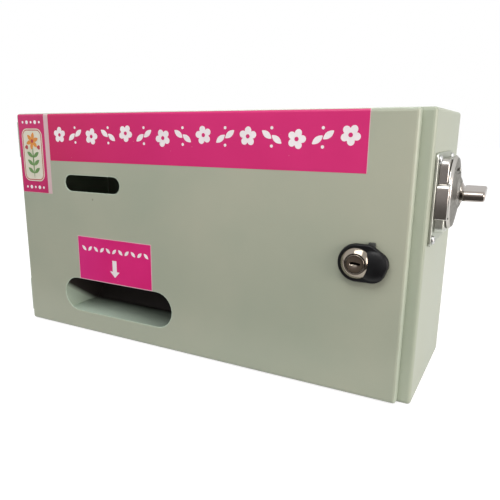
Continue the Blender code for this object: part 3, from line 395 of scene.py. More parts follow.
def meshPiece(name, shell, material, body, smoothAngle=35, node=None, second=None, mask=None):
    # a shell is a pair of points and faces; the mask gives 1 to the faces of the second material
    piece = addMesh(name, *shell)
    mesh = piece.data
    mesh.materials.append(material)
    if second:
        mesh.materials.append(second)
        mesh.polygons.foreach_set("material_index", np.asarray(mask, np.int32))
    mesh.shade_smooth()
    mesh.set_sharp_from_angle(angle=math.radians(smoothAngle))
    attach(piece, body)
    if node:
        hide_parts(node)


def rays(angles):
    # cosine and sine of each angle, as pairs
    return np.stack([np.cos(angles), np.sin(angles)], -1)


def spinBy(angle):
    # turns pairs that stand on its left anticlockwise
    (c, s), = rays([angle])
    return np.array([[c, s], [-s, c]])


def gridFaces(rows, columns, wrapRows=False, wrapColumns=False):
    # quads of a grid of points numbered row by row
    r = np.arange(rows if wrapRows else rows - 1)
    c = np.arange(columns if wrapColumns else columns - 1)
    r, c = np.meshgrid(r, c, indexing="ij")
    nextR, nextC = (r + 1) % rows, (c + 1) % columns
    quads = np.stack([r * columns + c, r * columns + nextC, nextR * columns + nextC, nextR * columns + c], -1)
    return quads.reshape(-1, 4).tolist()


def outward(points, faces):
    # turns the faces round if the closed shape's signed volume comes out negative:
    # each face is a fan of triangles, and each triangle adds the triple product of its corners
    p = np.asarray(points, float)
    p = p - p.mean(0)
    fans = [(face[0], face[i], face[i + 1]) for face in faces for i in range(1, len(face) - 1)]
    a, b, c = p[np.array(fans)].transpose(1, 0, 2)
    volume = np.einsum("ij,ij->", a, np.cross(b, c))
    return points, faces if volume > 0 else [face[::-1] for face in faces]


def ringStack(rings):
    # closed solid through rings of equal count, with capped ends
    rings = np.asarray(rings, float)
    count, size = rings.shape[:2]
    caps = [list(range(size))[::-1], list(range((count - 1) * size, count * size))]
    return outward(rings.reshape(-1, 3), gridFaces(count, size, wrapColumns=True) + caps)


def ringLoop(rings):
    # closed solid whose last ring joins its first
    rings = np.asarray(rings, float)
    return outward(rings.reshape(-1, 3), gridFaces(*rings.shape[:2], wrapRows=True, wrapColumns=True))


def together(*shells):
    # several closed shells as one
    points, faces, count = [], [], 0
    for shellPoints, shellFaces in shells:
        points.append(shellPoints)
        faces += [[i + count for i in face] for face in shellFaces]
        count += len(shellPoints)
    return np.vstack(points), faces


def lathe(profile, centre, axis, steps=96):
    # profile rows are (radius, distance along the axis); the profile is a closed loop off the axis,
    # or starts and ends on the axis
    profile = np.asarray(profile, float)
    u = np.cross([0.0, 0.0, 1.0], axis)
    v = np.cross(axis, u)
    spokes = rays(np.linspace(0, fullTurn, steps, endpoint=False)) @ np.array([u, v])
    onAxis = profile[0, 0] < 1e-9
    body = profile[1:-1] if onAxis else profile
    points = (centre + body[:, None, 1:2] * axis + body[:, None, 0:1] * spokes).reshape(-1, 3)
    faces = gridFaces(len(body), steps, wrapRows=not onAxis, wrapColumns=True)
    if onAxis:
        first, lastRow = len(points), len(points) - steps
        points = np.vstack([points, centre + profile[0, 1] * axis, centre + profile[-1, 1] * axis])
        for i in range(steps):
            j = (i + 1) % steps
            faces += [[first, j, i], [first + 1, lastRow + i, lastRow + j]]
    return outward(points, faces)


def roundedLoop(corners, steps=6):
    # closed profile with each (x, y, radius) corner rounded by a tangent arc
    corners = np.asarray(corners, float)
    out = []
    for i, (*here, radius) in enumerate(corners):
        if radius <= 0:
            out.append(here)
            continue
        before, after = corners[i - 1, :2] - here, corners[(i + 1) % len(corners), :2] - here
        before, after = before / np.linalg.norm(before), after / np.linalg.norm(after)
        half = math.acos(max(-1, min(1, float(before @ after)))) / 2
        reach = radius / math.tan(half)
        centre = here + (before + after) / np.linalg.norm(before + after) * radius / math.sin(half)
        start, stop = here + before * reach - centre, here + after * reach - centre
        first = math.atan2(start[1], start[0])
        turn = (math.atan2(stop[1], stop[0]) - first + math.pi) % fullTurn - math.pi
        out.extend(centre + radius * rays(first + turn * np.arange(steps + 1) / steps))
    return np.array(out)


def rounded(centre, size, radius, steps=8):
    # outline of a round-cornered rectangle, anticlockwise, as an array of pairs
    half = np.array(size, float) / 2 - radius
    corners = np.repeat(np.array([[1, 1], [-1, 1], [-1, -1], [1, -1]], float), steps + 1, 0)
    angle = np.concatenate([quarterTurn * (k + np.linspace(0, 1, steps + 1)) for k in range(4)])
    return centre + corners * half + radius * rays(angle)


def cornered(corners, steps=8, spacing=0.002):
    # anticlockwise outline from (x, y, radius) corners, its straight runs cut into short lengths
    loop = roundedLoop(corners, steps)
    ends = np.roll(loop, -1, 0)
    parts = np.maximum(1, np.ceil(np.linalg.norm(ends - loop, axis=1) / spacing).astype(int))
    start, stop = np.repeat(loop, parts, 0), np.repeat(ends, parts, 0)
    share = (np.arange(parts.sum()) - np.repeat(np.cumsum(parts) - parts, parts)) / np.repeat(parts, parts)
    return start + (stop - start) * share[:, None]


def boxed(x0, y0, x1, y1, *radii):
    # the four corners of a rectangle, anticlockwise from the lower left, with one radius or four
    spots = (x0, y0), (x1, y0), (x1, y1), (x0, y1)
    return [(*spot, radius) for spot, radius in zip(spots, radii * (4 // len(radii)))]


def drawIn(outline, amount):
    # moves each point of an anticlockwise outline inwards along its normal
    along = np.roll(outline, -1, 0) - np.roll(outline, 1, 0)
    along /= np.maximum(np.linalg.norm(along, axis=1, keepdims=True), 1e-12)
    return outline + amount * np.stack([-along[:, 1], along[:, 0]], 1)


def carved(shell, *cutters):
    # exact difference of closed shells, worked out on objects that are removed again
    made = [addMesh("carving", *each) for each in (shell, *cutters)]
    for cutter in made[1:]:
        step = made[0].modifiers.new("cut", "BOOLEAN")
        step.operation, step.solver, step.object = "DIFFERENCE", "EXACT", cutter
    done = made[0].evaluated_get(bpy.context.evaluated_depsgraph_get()).to_mesh()
    points = np.array([vertex.co[:] for vertex in done.vertices])
    faces = [list(face.vertices) for face in done.polygons]
    for item in made:
        bpy.data.meshes.remove(item.data)
    return points, faces


# camera and stage

def makeCamera():
    # turned to the left and down from a level view along Y, then rolled about its own axis
    look = {"at": (0.2959, -0.5852, 0.1059), "turns": ((29.49, "Z"), (90 - 13.95, "X"), (0.23, "Z")),
            "lens": 38.2, "shift": (0.049, 0.026)}
    yaw, pitch, roll = (Matrix.Rotation(math.radians(angle), 4, axis) for angle, axis in look["turns"])
    data = bpy.data.cameras.new("photoCamera")
    data.sensor_width, data.clip_start = 36.0, 0.01
    data.lens, (data.shift_x, data.shift_y) = look["lens"], look["shift"]
    camera = addObject("photoCamera", data)
    camera.matrix_world = Matrix.Translation(look["at"]) @ yaw @ pitch @ roll
    bpy.context.scene.camera = camera


def seenRay(tree):
    # 1 on rays from the camera, in reflections and through glass
    path = addNode(tree, "LightPath").outputs
    reflected = calc(tree, "MAXIMUM", path["Is Glossy Ray"], path["Is Transmission Ray"])
    return calc(tree, "MAXIMUM", path["Is Camera Ray"], reflected)


def makeStage():
    # a wide pale floor that looks white but keeps the shadow of the object, under a white world
    look = {"reach": 8.0, "tint": (0.36, 0.36, 0.36), "lift": 0.76, "soft": 0.57}
    reach = look["reach"]
    corners = [(x * reach, y * reach, bottom) for x, y in ((-1, -1), (1, -1), (1, 1), (-1, 1))]
    floor = addMesh("stageFloor", corners, [(0, 1, 2, 3)])
    material, tree, _ = newMaterial("stageFloor")
    dress(tree, BaseColor=look["tint"], Roughness=0.9, EmissionColor=(1.0, 1.0, 1.0),
          EmissionStrength=calc(tree, "MULTIPLY", seenRay(tree), look["lift"]))
    floor.data.materials.append(material)

    world = bpy.data.worlds.new("stageWorld")
    bpy.context.scene.world = world
    world.use_nodes = True
    tree = world.node_tree
    tree.nodes.clear()
    strength = remap(tree, seenRay(tree), 0.0, 1.0, look["soft"], 1.0)
    back = addNode(tree, "Background", Color=(1.0, 1.0, 1.0), Strength=strength)
    addNode(tree, "OutputWorld", Surface=back.outputs[0])


def makeCard():
    # a grey card in front of the object, darkest at its foot, that only reflections see:
    # it lies on the floor, rises in a curve and gives the plating its contrast
    look = {"near": -0.23, "far": -3.2, "wide": 3.5, "high": 1.6, "foot": (0.080, 0.074, 0.068),
            "crown": (0.56, 0.51, 0.50), "rows": 33}
    near, far, wide, high, foot, crown, rows = look.values()
    share = np.linspace(0, 1, rows)
    y = near + (far - near) * np.minimum(1, share / 0.6)
    z = bottom + 0.004 + high * np.clip((share - 0.5) / 0.5, 0, 1) ** 1.4
    edges = np.stack([np.stack([np.full(rows, x), y, z], 1) for x in (-wide, wide)], 1)
    card = addMesh("stageCard", edges.reshape(-1, 3), gridFaces(rows, 2))
    material, tree, place = newMaterial("stageCard")
    parts = splitUp(tree, place)
    up = calc(tree, "ADD", remap(tree, parts[1], near, near - 2.0, 0.0, 0.55),
              remap(tree, parts[2], bottom, bottom + high, 0.0, 0.45))
    dress(tree, BaseColor=(0.0, 0.0, 0.0), Roughness=1.0, SpecularIORLevel=0.0, EmissionStrength=1.0,
          EmissionColor=mixColours(tree, up, foot, crown))
    card.data.materials.append(material)
    card.visible_camera = card.visible_diffuse = card.visible_transmission = card.visible_shadow = False


def makeLamp(name, at, aim, size, power, tint):
    data = bpy.data.lights.new(name, "AREA")
    data.shape = "RECTANGLE"
    data.size, data.size_y = size
    data.energy, data.color = power, tint
    turn = (Vector(aim) - Vector(at)).to_track_quat("-Z", "Y")
    addObject(name, data).matrix_world = Matrix.Translation(at) @ turn.to_matrix().to_4x4()


makeCamera()
makeStage()
makeCard()
makeLamp("keyLamp", at=(0.15, -0.95, 1.25), aim=(0, 0, 0), size=(1.1, 0.8), power=13.5, tint=(1, 0.99, 0.97))
makeLamp("sideLamp", at=(1.7, -0.55, 0.25), aim=(0.2, 0, 0), size=(1.0, 1.0), power=20.0, tint=(1, 0.88, 0.83))
makeLamp("backLamp", at=(-0.7, 1.8, 0.9), aim=(0, 0, 0), size=(1.2, 1.2), power=11.0, tint=(1, 1, 1))
bpy.context.scene.view_settings.view_transform = "Standard"
print("stage: camera, floor and lamps")


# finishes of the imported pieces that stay

finishOf = {
    "cabinet_paint": cabinetPaint, "door_paint": doorPaint, "zinc_plate": zincMetal, "chrome": chromeMetal,
    "steel_wire": wireMetal, "black_moulding": blackPlastic, "nickel": nickelMetal, "rubber": rubberPad}
ownFinish = {"drop_chute": chutePaint, **dict.fromkeys(("product_tray", "rear_guide", "partition"), insidePaint)}
softEdge = {"door_panel": 0.0005, "cabinet_body": 0.0004, "back_panel": 0.0003, "product_tray": 0.0003,
            "coin_box": 0.0003}

for part in frame["record"]["subparts"]:
    item = nodes[part["node"]]
    item.data.materials.clear()
    item.data.materials.append(ownFinish.get(part["node"], finishOf[part["material_slot"]]))
    item.modifiers.new("weld", "WELD").merge_threshold = 0.00001
    if part["node"] in softEdge:
        bevel = item.modifiers.new("edge", "BEVEL")
        bevel.width, bevel.segments = softEdge[part["node"]], 2
        bevel.limit_method, bevel.angle_limit = "ANGLE", math.radians(50)
        bevel.use_clamp_overlap, bevel.harden_normals = True, False
print("stage: packed pieces dressed")


# lock: bezel, plug, thumb turn and base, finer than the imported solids

lockLow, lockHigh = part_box("lock_cylinder")
lockAt = np.array([(lockLow.x + lockHigh.x) / 2, doorFace, (lockLow.z + lockHigh.z) / 2])
forwards = np.array([0.0, -1.0, 0.0])
bezelLook = {"skirt": 0.0064, "face": 0.0102, "outer": 0.0131, "lip": 0.0092, "power": 1.1, "rim": 0.0004}


def polarOf(outline, angles):
    # distance from the centre to a closed outline along each angle; its straight runs are cut into
    # short lengths first
    closed = np.vstack([outline, outline[:1]])
    run = np.concatenate([[0], np.cumsum(np.linalg.norm(np.diff(closed, axis=0), axis=1))])
    spot = np.linspace(0, run[-1], 1600, endpoint=False)
    x, y = (np.interp(spot, run, closed[:, i]) for i in (0, 1))
    bearing = np.arctan2(y, x)
    order = np.argsort(bearing)
    bearing, reach = bearing[order], np.hypot(x, y)[order]
    bearing = np.concatenate([bearing - fullTurn, bearing, bearing + fullTurn])
    return np.interp(angles, bearing, np.tile(reach, 3))


def hullOfDiscs(discs, steps=720):
    # outline round several discs: in each direction the disc that reaches furthest gives its own rim point
    ray = rays(np.linspace(-math.pi, math.pi, steps, endpoint=False))
    discs = np.array(discs)
    furthest = np.argmax(ray @ discs[:, :2].T + discs[:, 2], axis=1)
    return discs[furthest, :2] + ray * discs[furthest, 2:]


def onDoor(flat, height):
    # pairs on the door face and heights above it, to points in the shared frame
    height = np.broadcast_to(height, flat.shape[:-1])
    return np.stack([lockAt[0] + flat[..., 0], doorFace - height, lockAt[2] + flat[..., 1]], -1)


def bezelRise(radius):
    # height of the bezel's curved slope at a distance from its axis: a superellipse between lip and rim
    skirt, face, outer, lip, power, rim = bezelLook.values()
    share = np.clip((radius - lip) / (outer - lip), 0, 1)
    return skirt + rim + (face - skirt - rim) * (1 - share ** power) ** (1 / power)


def makeThumbTurn():
    # rings round the lock axis: up the rounded outer edge, across the domed top to its inner edge, which laps
    # over the bezel on the side of the lobe, back under along the bezel's slope, down the seat and the bore
    look = {"discs": [(0, 0, 0.0165), (0.0080, 0.0054, 0.0112), (0.0158, 0.0006, 0.0109), (0.0133, -0.0052, 0.0111)],
            "domeAt": (0.0138, -0.0012), "domeReach": 0.0132, "low": 0.0028, "high": 0.0062, "edge": 0.0015,
            "crownLow": 0.0021, "rise": 0.0046, "soft": 0.00025, "seat": 0.0137, "bore": 0.0091,
            "lap": 0.0097, "lapSpread": 1.35, "lapLean": math.radians(14), "clear": 0.00015, "steps": 192}
    (discs, domeAt, domeReach, low, high, edge, crownLow, rise, soft, seat, bore,
     lap, lapSpread, lapLean, clear, steps) = look.values()
    angle = np.linspace(-math.pi, math.pi, steps, endpoint=False)
    ray = rays(angle)
    reach = polarOf(hullOfDiscs(discs), angle)

    def crown(radius):
        # soft greater of the flat top and a low dome over the lobe
        d = np.linalg.norm(ray * radius[:, None] - domeAt, axis=-1) / domeReach
        dome = low + crownLow + rise * np.sqrt(np.clip(1 - d * d, 0, 1))
        return soft * np.logaddexp(dome / soft, high / soft)

    def ring(radius, height):
        return onDoor(ray * np.reshape(radius, (-1, 1)), height)

    rings = [ring(reach - 0.0003, low), ring(reach, low + 0.0003)]
    start = low + 0.0006
    for a in np.linspace(0, quarterTurn, 9):
        rings.append(ring(reach - edge * (1 - math.cos(a)), start + (crown(reach - edge) - start) * math.sin(a)))
    turn = (angle - lapLean + math.pi) % fullTurn - math.pi
    inner = seat - (seat - lap) * np.exp(-(np.abs(turn) / lapSpread) ** 4)
    for share in np.linspace(0, 1, 17)[1:]:
        radius = reach - edge + (inner - reach + edge) * share
        rings.append(ring(radius, crown(radius)))
    for share in np.linspace(0, 1, 7):
        radius = inner + (seat - inner) * share
        under = np.maximum(bezelRise(radius) + clear, high - 0.0002)
        rings.append(ring(radius, np.minimum(under, crown(radius) - 0.00015)))
    rings += [ring(seat, high - 0.0003), ring(bore, high - 0.0002), ring(bore, low)]
    meshPiece("thumbTurn", ringLoop(rings), blackPlastic, "thumb_turn", node="lock_thumb_turn")


def makeLockBase():
    # turned ring with rounded rims, and the small stop tab at its upper right
    look = {"outer": 0.0160, "bore": 0.0094, "low": 0.0003, "high": 0.0025, "round": 0.0006, "crisp": 0.0002,
            "tabAt": (0.0112, 0.0109), "tabSize": (0.0060, 0.0138), "tabCorner": 0.0010,
            "tabRings": [(0.0003, 1.0), (0.0021, 1.0), (0.0024, 0.97), (0.0025, 0.90)]}
    outer, bore, low, high, rounding, crisp, tabAt, tabSize, tabCorner, tabRings = look.values()
    loop = roundedLoop(boxed(bore, low, outer, high, crisp, crisp, rounding, crisp))
    outline = rounded((0, 0), tabSize, tabCorner)
    tab = ringStack([onDoor(tabAt + outline * scale, height) for height, scale in tabRings])
    meshPiece("lockBase", together(lathe(loop, lockAt, forwards), tab), tabPlastic, "door",
              node="lock_base")


def makeBezel():
    # turned head: stem, skirt, a full curve up to the lip, and a recess for the plug, with the tail behind;
    # the curve is a superellipse between a cone and a quarter round
    look = {"seat": 0.0083, "floor": 0.0040, "stem": 0.0088, "stemLow": 0.0028, "tail": 0.0060,
            "tailEnd": doorFace - lockHigh.y, "edge": 0.0003, "steps": 128}
    seat, floor, stem, stemLow, tail, tailEnd, edge, steps = look.values()
    skirt, face, outer, lip, power, rim = bezelLook.values()
    back = roundedLoop([
        (0.0, tailEnd, 0.0), (tail, tailEnd, edge), (tail, stemLow, 0.0), (stem, stemLow, 0.0002),
        (stem, skirt, 0.0001), (outer, skirt, 0.0001), (outer, skirt + rim, 0.0), (0.0, face, 0.0)])[:-1]
    across, up = (rays(np.linspace(0, quarterTurn, 15)[1:]) ** (2 / power)).T
    curve = np.stack([lip + (outer - lip) * across, skirt + rim + (face - skirt - rim) * up], 1)
    inside = [(seat + edge, face), (seat + 0.0001, face - 0.0001), (seat, face - edge), (seat, floor), (0.0, floor)]
    shell = lathe(np.vstack([back, curve, inside]), lockAt, forwards, steps)
    meshPiece("lockBezel", shell, lockChrome, "thumb_turn", 28, "lock_cylinder")


def makePlug():
    # rings from the rim to a countersunk slot, down its walls to a shutter, and closed behind
    look = {"outer": 0.0080, "low": 0.0043, "face": 0.0105, "edge": 0.0004, "groove": 0.0068, "grooveDeep": 0.0006,
            "slot": (0.0088, 0.0021), "slotAt": (0.0003, 0.0003), "sink": (0.0074, 0.0052),
            "sinkAt": (-0.0011, -0.0008), "sinkDeep": 0.0009, "deep": 0.0045, "steps": 240,
            "wards": [(0.00035, 0.35, 0.10), (0.00030, -2.6, 0.12)]}
    (outer, low, face, edge, groove, grooveDeep, slotSize, slotAt, sinkSize, sinkAt,
     sinkDeep, deep, steps, wards) = look.values()
    angle = np.linspace(-math.pi, math.pi, steps, endpoint=False)
    ray = rays(angle)
    slot = polarOf(rounded(slotAt, slotSize, slotSize[1] / 2 - 0.0001, 12), angle)
    ward = sum(depth * np.exp(-((angle - at) / wide) ** 2) for depth, at, wide in wards)
    slot = slot - np.minimum(ward, slot * 0.4)
    sink = polarOf(rounded(sinkAt, sinkSize, sinkSize[1] / 2 - 0.0002, 12), angle)
    sink = np.maximum(sink, slot + 0.00015)
    rings = [(outer, low)]
    for c, s in rays(np.linspace(0, quarterTurn, 5)):
        rings.append((outer - edge * (1 - c), face - edge * (1 - s)))
    for off, drop in ((0.0003, 0), (0.00022, 1), (-0.00022, 1), (-0.0003, 0)):
        rings.append((groove + off, face - grooveDeep * drop))
    for share in (0.0, 0.35, 0.7, 1.0):
        rings.append((sink + (slot - sink) * share, face - sinkDeep * share ** 1.6))
    rings.append((slot, face - deep))
    shell = ringStack([onDoor(ray * np.reshape(radius, (-1, 1)), height) for radius, height in rings])
    # the outer flank and the walls of the countersink shine like the bezel
    flank = np.zeros(len(shell[1]))
    for first, last in ((0, 6), (10, 13)):
        flank[first * steps:last * steps] = 1
    meshPiece("lockPlug", shell, nickelMetal, "key_plug", 30, "lock_plug", lockChrome, flank)


makeThumbTurn()
makeLockBase()
makeBezel()
makePlug()
print("stage: lock made")

# coin mechanism: plate, housing with its cheek, cover disc, paddle and screws

plateLow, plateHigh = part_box("mech_base_plate")
discLow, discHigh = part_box("mech_disc")
handleLow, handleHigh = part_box("mech_handle")
mechAt = np.array([discLow.x, (discLow.y + discHigh.y) / 2, (discLow.z + discHigh.z) / 2])
discRadius = (discHigh.z - discLow.z) / 2
sideways = np.array([1.0, 0.0, 0.0])


def onWall(flat, reach):
    # pairs (y, z) and distances out along X, to points in the shared frame
    reach = np.broadcast_to(reach, flat.shape[:-1])
    return np.stack([reach, flat[..., 0], flat[..., 1]], -1)


def padOf(outline, low, high, rounding, draft=0.0):
    # rings up the drafted wall, round the top edge, and one ring in on the flat before the cap
    turn = np.linspace(0, quarterTurn, 7)
    inset = np.concatenate([[0.0002, 0.0], draft + rounding * (1 - np.cos(turn)), [draft + rounding + 0.0006]])
    level = np.concatenate([[low, low + 0.0002], high - rounding * (1 - np.sin(turn)), [high]])
    return ringStack([onWall(drawIn(outline, a), b) for a, b in zip(inset, level)])


def makePlate():
    look = {"corner": 0.004, "rounding": 0.0007}
    outline = cornered(boxed(plateLow.y, plateLow.z, plateHigh.y, plateHigh.z, look["corner"]))
    shell = padOf(outline, plateLow.x, plateHigh.x, look["rounding"])
    meshPiece("mechPlate", shell, plateMetal, "cabinet", node="mech_base_plate")


def makeHousing():
    # drafted block, with a cheek in front of it whose face is slightly bowed
    look = {"side": 0.010, "topIn": 0.0045, "bottomIn": 0.010, "reach": 0.0070, "corner": 0.006, "draft": 0.0007,
            "rounding": 0.0012, "gap": 0.0003}
    side, topIn, bottomIn, reach, corner, draft, rounding, gap = look.values()
    cheek = {"front": 0.002, "reach": 0.0096, "high": 0.029, "rise": 0.0095, "corner": 0.004, "foot": 0.0012,
             "rounding": 0.0008, "bow": 0.0009, "bowDeep": 0.0045, "spacing": 0.0012}
    cheekIn, cheekReach, tall, rise, cheekCorner, footCorner, cheekRound, bow, bowDeep, spacing = cheek.values()
    base = plateHigh.x + gap
    outline = boxed(plateLow.y + side, plateLow.z + bottomIn, plateHigh.y - side, plateHigh.z - topIn, corner)
    block = padOf(cornered(outline), base, base + reach, rounding, draft)
    front, high = plateLow.y + cheekIn, mechAt[2] + rise
    low = high - tall

    def bowed(corners):
        # the front edge stands out in the middle of its height and falls back to its ends
        outline = cornered(corners, spacing=spacing)
        lift = bow * (np.abs(outline[:, 1] - (low + high) / 2) / ((high - low) / 2)) ** 2
        outline[:, 0] += np.where(outline[:, 0] < front + bowDeep, lift, 0)
        return outline

    radius = discRadius + gap
    start, stop = math.pi + math.asin((mechAt[2] - low) / radius), math.pi - math.asin((high - mechAt[2]) / radius)
    arc = [(*spot, 0.0) for spot in mechAt[1:] + radius * rays(np.linspace(start, stop, 25))]
    lune = bowed([(front, low, footCorner), *arc, (front, high, cheekCorner)])
    foot = bowed(boxed(front, low, mechAt[1], high, footCorner, 0.001, 0.001, cheekCorner))
    rim = padOf(lune, base, base + cheekReach, cheekRound)
    body = padOf(drawIn(foot, 0.0003), base, base + reach - 0.0001, 0.0004)
    points, faces = together(block, rim, body)
    below = [points[face, 2].mean() < low for face in faces]
    meshPiece("mechHousing", (points, faces), chromeMetal, "cabinet", node="mech_housing",
              second=plateMetal, mask=below)


def makeDisc():
    # turned cover: foot, bright bevel, shallow groove, domed face with a low collar round the neck;
    # then the coin slot with its sunk surround
    look = {"bevel": 0.0022, "thick": 0.0030, "dome": 0.0024, "neck": 0.0100, "groove": 0.0276,
            "grooveDeep": 0.00022, "grooveWide": 0.00045, "collar": 0.0019, "collarReach": 0.0155, "foot": 0.0030}
    bevel, thick, dome, neck, groove, grooveDeep, grooveWide, collar, collarReach, foot = look.values()
    opening = {"long": 0.026, "wide": 0.0026, "up": 0.018, "deep": 0.0018, "surround": 0.0018, "far": 0.02}
    slotLong, slotWide, slotUp, slotDeep, surround, far = opening.values()
    shoulder, bevelLow = discRadius - bevel, thick - bevel
    share = np.linspace(0, 1, 30)
    radius = shoulder - 0.0004 - (shoulder - neck) * share
    slope = np.clip((radius - neck) / (collarReach - neck), 0, 1)
    height = thick + dome * np.sin(quarterTurn * share) - grooveDeep * np.exp(-((radius - groove) / grooveWide) ** 2)
    height += collar * (0.5 + 0.5 * np.cos(math.pi * slope))
    profile = np.vstack([
        [(neck - foot, 0.0), (discRadius - 0.0003, 0.0), (discRadius, 0.0003), (discRadius, bevelLow - 0.0002),
         (discRadius - 0.0001, bevelLow + 0.0001), (shoulder + 0.0002, thick - 0.0002), (shoulder - 0.0001, thick)],
        np.stack([radius, height], 1), [(neck - 0.0001, thick + dome), (neck - foot, thick + dome)]])
    outline = rounded((mechAt[1], mechAt[2] + slotUp + slotWide / 2), (slotLong, slotWide), slotWide / 2 - 0.0001, 10)
    face, outside = mechAt[0] + thick, mechAt[0] + far
    lip, near, wide = face + 0.0002, drawIn(outline, -surround * 0.7), drawIn(outline, -surround)
    slot = ringStack([onWall(outline, face - slotDeep), onWall(outline, outside)])
    sunk = ringStack([onWall(near, lip), onWall(wide, lip + 0.0005), onWall(wide, outside)])
    points, faces = carved(lathe(profile, mechAt, sideways, 160), slot, sunk)
    rim = [np.hypot(*(points[corners].mean(0) - mechAt)[1:]) > shoulder + 0.0001 for corners in faces]
    meshPiece("mechDisc", (points, faces), castMetal, "cabinet", 30, "mech_disc", chromeMetal, rim)


def makeHandle():
    # rings along X: a round neck that flares into a flat paddle, with rolled edges and a rounded tip
    look = {"neck": 0.0092, "flareFrom": 0.0018, "flare": 0.0032, "wide": 0.025, "thick": 0.0084, "round": 0.0039,
            "crisp": 0.0021, "tilt": math.radians(10), "tip": 0.0022, "narrow": 0.02, "runs": 7}
    neck, flareFrom, flare, wide, thick, rounding, crisp, tilt, tip, narrow, runs = look.values()
    x0, x1 = handleLow.x, handleHigh.x
    flat = cornered(boxed(-wide / 2, -thick / 2, wide / 2, thick / 2, crisp, rounding))
    circle = neck * rays(np.arctan2(flat[:, 1], flat[:, 0]))
    level, outline = [x0, x0 + 0.0003], [circle * 0.97, circle]
    for share in np.linspace(0, 1, 9):
        blend = share * share * (3 - 2 * share)
        level.append(x0 + flareFrom + flare * share)
        outline.append(circle * (1 - blend) + flat * blend)
    reach = level[-1]
    for share in np.arange(1, runs + 1) / runs:
        level.append(reach + (x1 - tip - reach) * share)
        outline.append(flat * (1 - narrow * share))
    for c, s in rays(quarterTurn * np.arange(1, 8) / 7):
        level.append(x1 - tip * (1 - s))
        outline.append(drawIn(flat * (1 - narrow), tip * 0.92 * (1 - c)))
    level.append(x1)
    outline.append(outline[-1] * 0.9)
    rings = [onWall(ring @ spinBy(tilt) + mechAt[1:], at) for ring, at in zip(outline, level)]
    meshPiece("mechPaddle", ringStack(rings), handleMetal, "feed", 40, "mech_handle")


def makeScrews():
    # turned pan heads with a cross recess, one on each corner of the plate
    look = {"head": 0.0036, "high": 0.0022, "shank": 0.0020, "crossLong": 0.0042, "crossWide": 0.0009, "deep": 0.0011}
    head, high, shank, crossLong, crossWide, deep = look.values()
    c, s = rays(np.linspace(0, quarterTurn, 8)[:-1]).T
    dome = np.stack([head * c ** 0.7, high * (0.25 + 0.75 * s)], 1)
    bar = rounded((0, 0), (crossLong, crossWide), crossWide / 2 - 0.0001, 6)
    for part in [name for name in nodes if name.startswith("mech_screw")]:
        low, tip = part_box(part)
        centre = np.array([tip.x - high, (low.y + tip.y) / 2, (low.z + tip.z) / 2])
        back = low.x - centre[0]
        profile = np.vstack([[(0.0, back), (shank, back), (shank, 0.0), (head, 0.0)], dome, [(0.0, high)]])
        bars = []
        for turn in (0, quarterTurn):
            flat = bar @ spinBy(0.5 + 13 * centre[2] + turn) + centre[1:]
            bars.append(ringStack([onWall(flat, tip.x - deep), onWall(flat, tip.x + 0.001)]))
        shell = carved(lathe(profile, centre, sideways, 48), *bars)
        meshPiece(part + "_head", shell, zincMetal, "cabinet", 32, part)


makePlate()
makeHousing()
makeDisc()
makeHandle()
makeScrews()
print("stage: coin mechanism made")

# spiral coil: a round wire carried along the spiral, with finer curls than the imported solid


def makeCoil():
    # the centre line leaves the hub along X, eases into the turn over a few steps and ends the same way;
    # a circle is carried along it in the plane across the line
    look = {"wire": 0.002, "radius": 0.034, "curls": 7, "perCurl": 10, "ease": 3, "fine": 6, "sides": 14}
    wire, radius, curls, perCurl, ease, fine, sides = look.values()
    coilLow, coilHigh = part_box("spiral_coil")
    steps = curls * perCurl + 2 * ease
    i = np.arange(steps)
    share = np.clip(np.minimum(i, steps - 1 - i) / ease, 0, 1)
    straight = 2 * wire
    advance = (coilHigh.x - coilLow.x - straight * (1 - share).sum()) / share.sum()
    x = coilHigh.x - np.concatenate([[0], np.cumsum(share * advance + (1 - share) * straight)])
    angle = np.concatenate([[0], np.cumsum(share * fullTurn / perCurl)])
    spots = np.linspace(0, steps, steps * fine + 1)
    x, angle = (np.interp(spots, np.arange(steps + 1), values) for values in (x, angle))
    out = np.insert(rays(angle), 0, 0.0, axis=1)
    line = mechAt + radius * out
    line[:, 0] = x
    along = np.gradient(line, axis=0)
    along /= np.linalg.norm(along, axis=1, keepdims=True)
    out -= along * np.sum(along * out, axis=1, keepdims=True)
    out /= np.linalg.norm(out, axis=1, keepdims=True)
    side = np.cross(along, out)
    ring = wire * rays(np.linspace(0, fullTurn, sides, endpoint=False))
    loops = line[:, None] + ring[:, :1] * out[:, None] + ring[:, 1:] * side[:, None]
    for end in (0, -1):
        loops[end] = line[end] + (loops[end] - line[end]) * 0.8
    meshPiece("feedCoil", ringStack(loops), wireMetal, "feed", 50, "spiral_coil")


makeCoil()
print("stage: coil made")

# printed labels on the door: plain inks and small motifs

labelLook = {"thick": 0.00012, "sunk": 0.00003, "edgeRadius": 0.003, "wrap": math.radians(48), "motif": 0.00007}
labelThick, labelSunk, edgeRadius, labelWrap, motifThick = labelLook.values()
edgeStart = doorHigh.z - edgeRadius
labelTop = doorHigh.z - edgeRadius * (1 - labelWrap)
inkLow, inkHigh = labelThick - labelSunk, labelThick + motifThick


def doorPoints(flat, off):
    # (x, z) pairs at a distance in front of the door face, following its rounded top edge
    flat = np.asarray(flat, float)
    over = np.maximum(flat[..., 1] - edgeStart, 0) / edgeRadius
    reach = edgeRadius + off
    y = np.where(over > 0, doorFace + edgeRadius - reach * np.cos(over), doorFace - off)
    z = np.where(over > 0, edgeStart + reach * np.sin(over), flat[..., 1])
    return np.stack([flat[..., 0], y, z], -1)


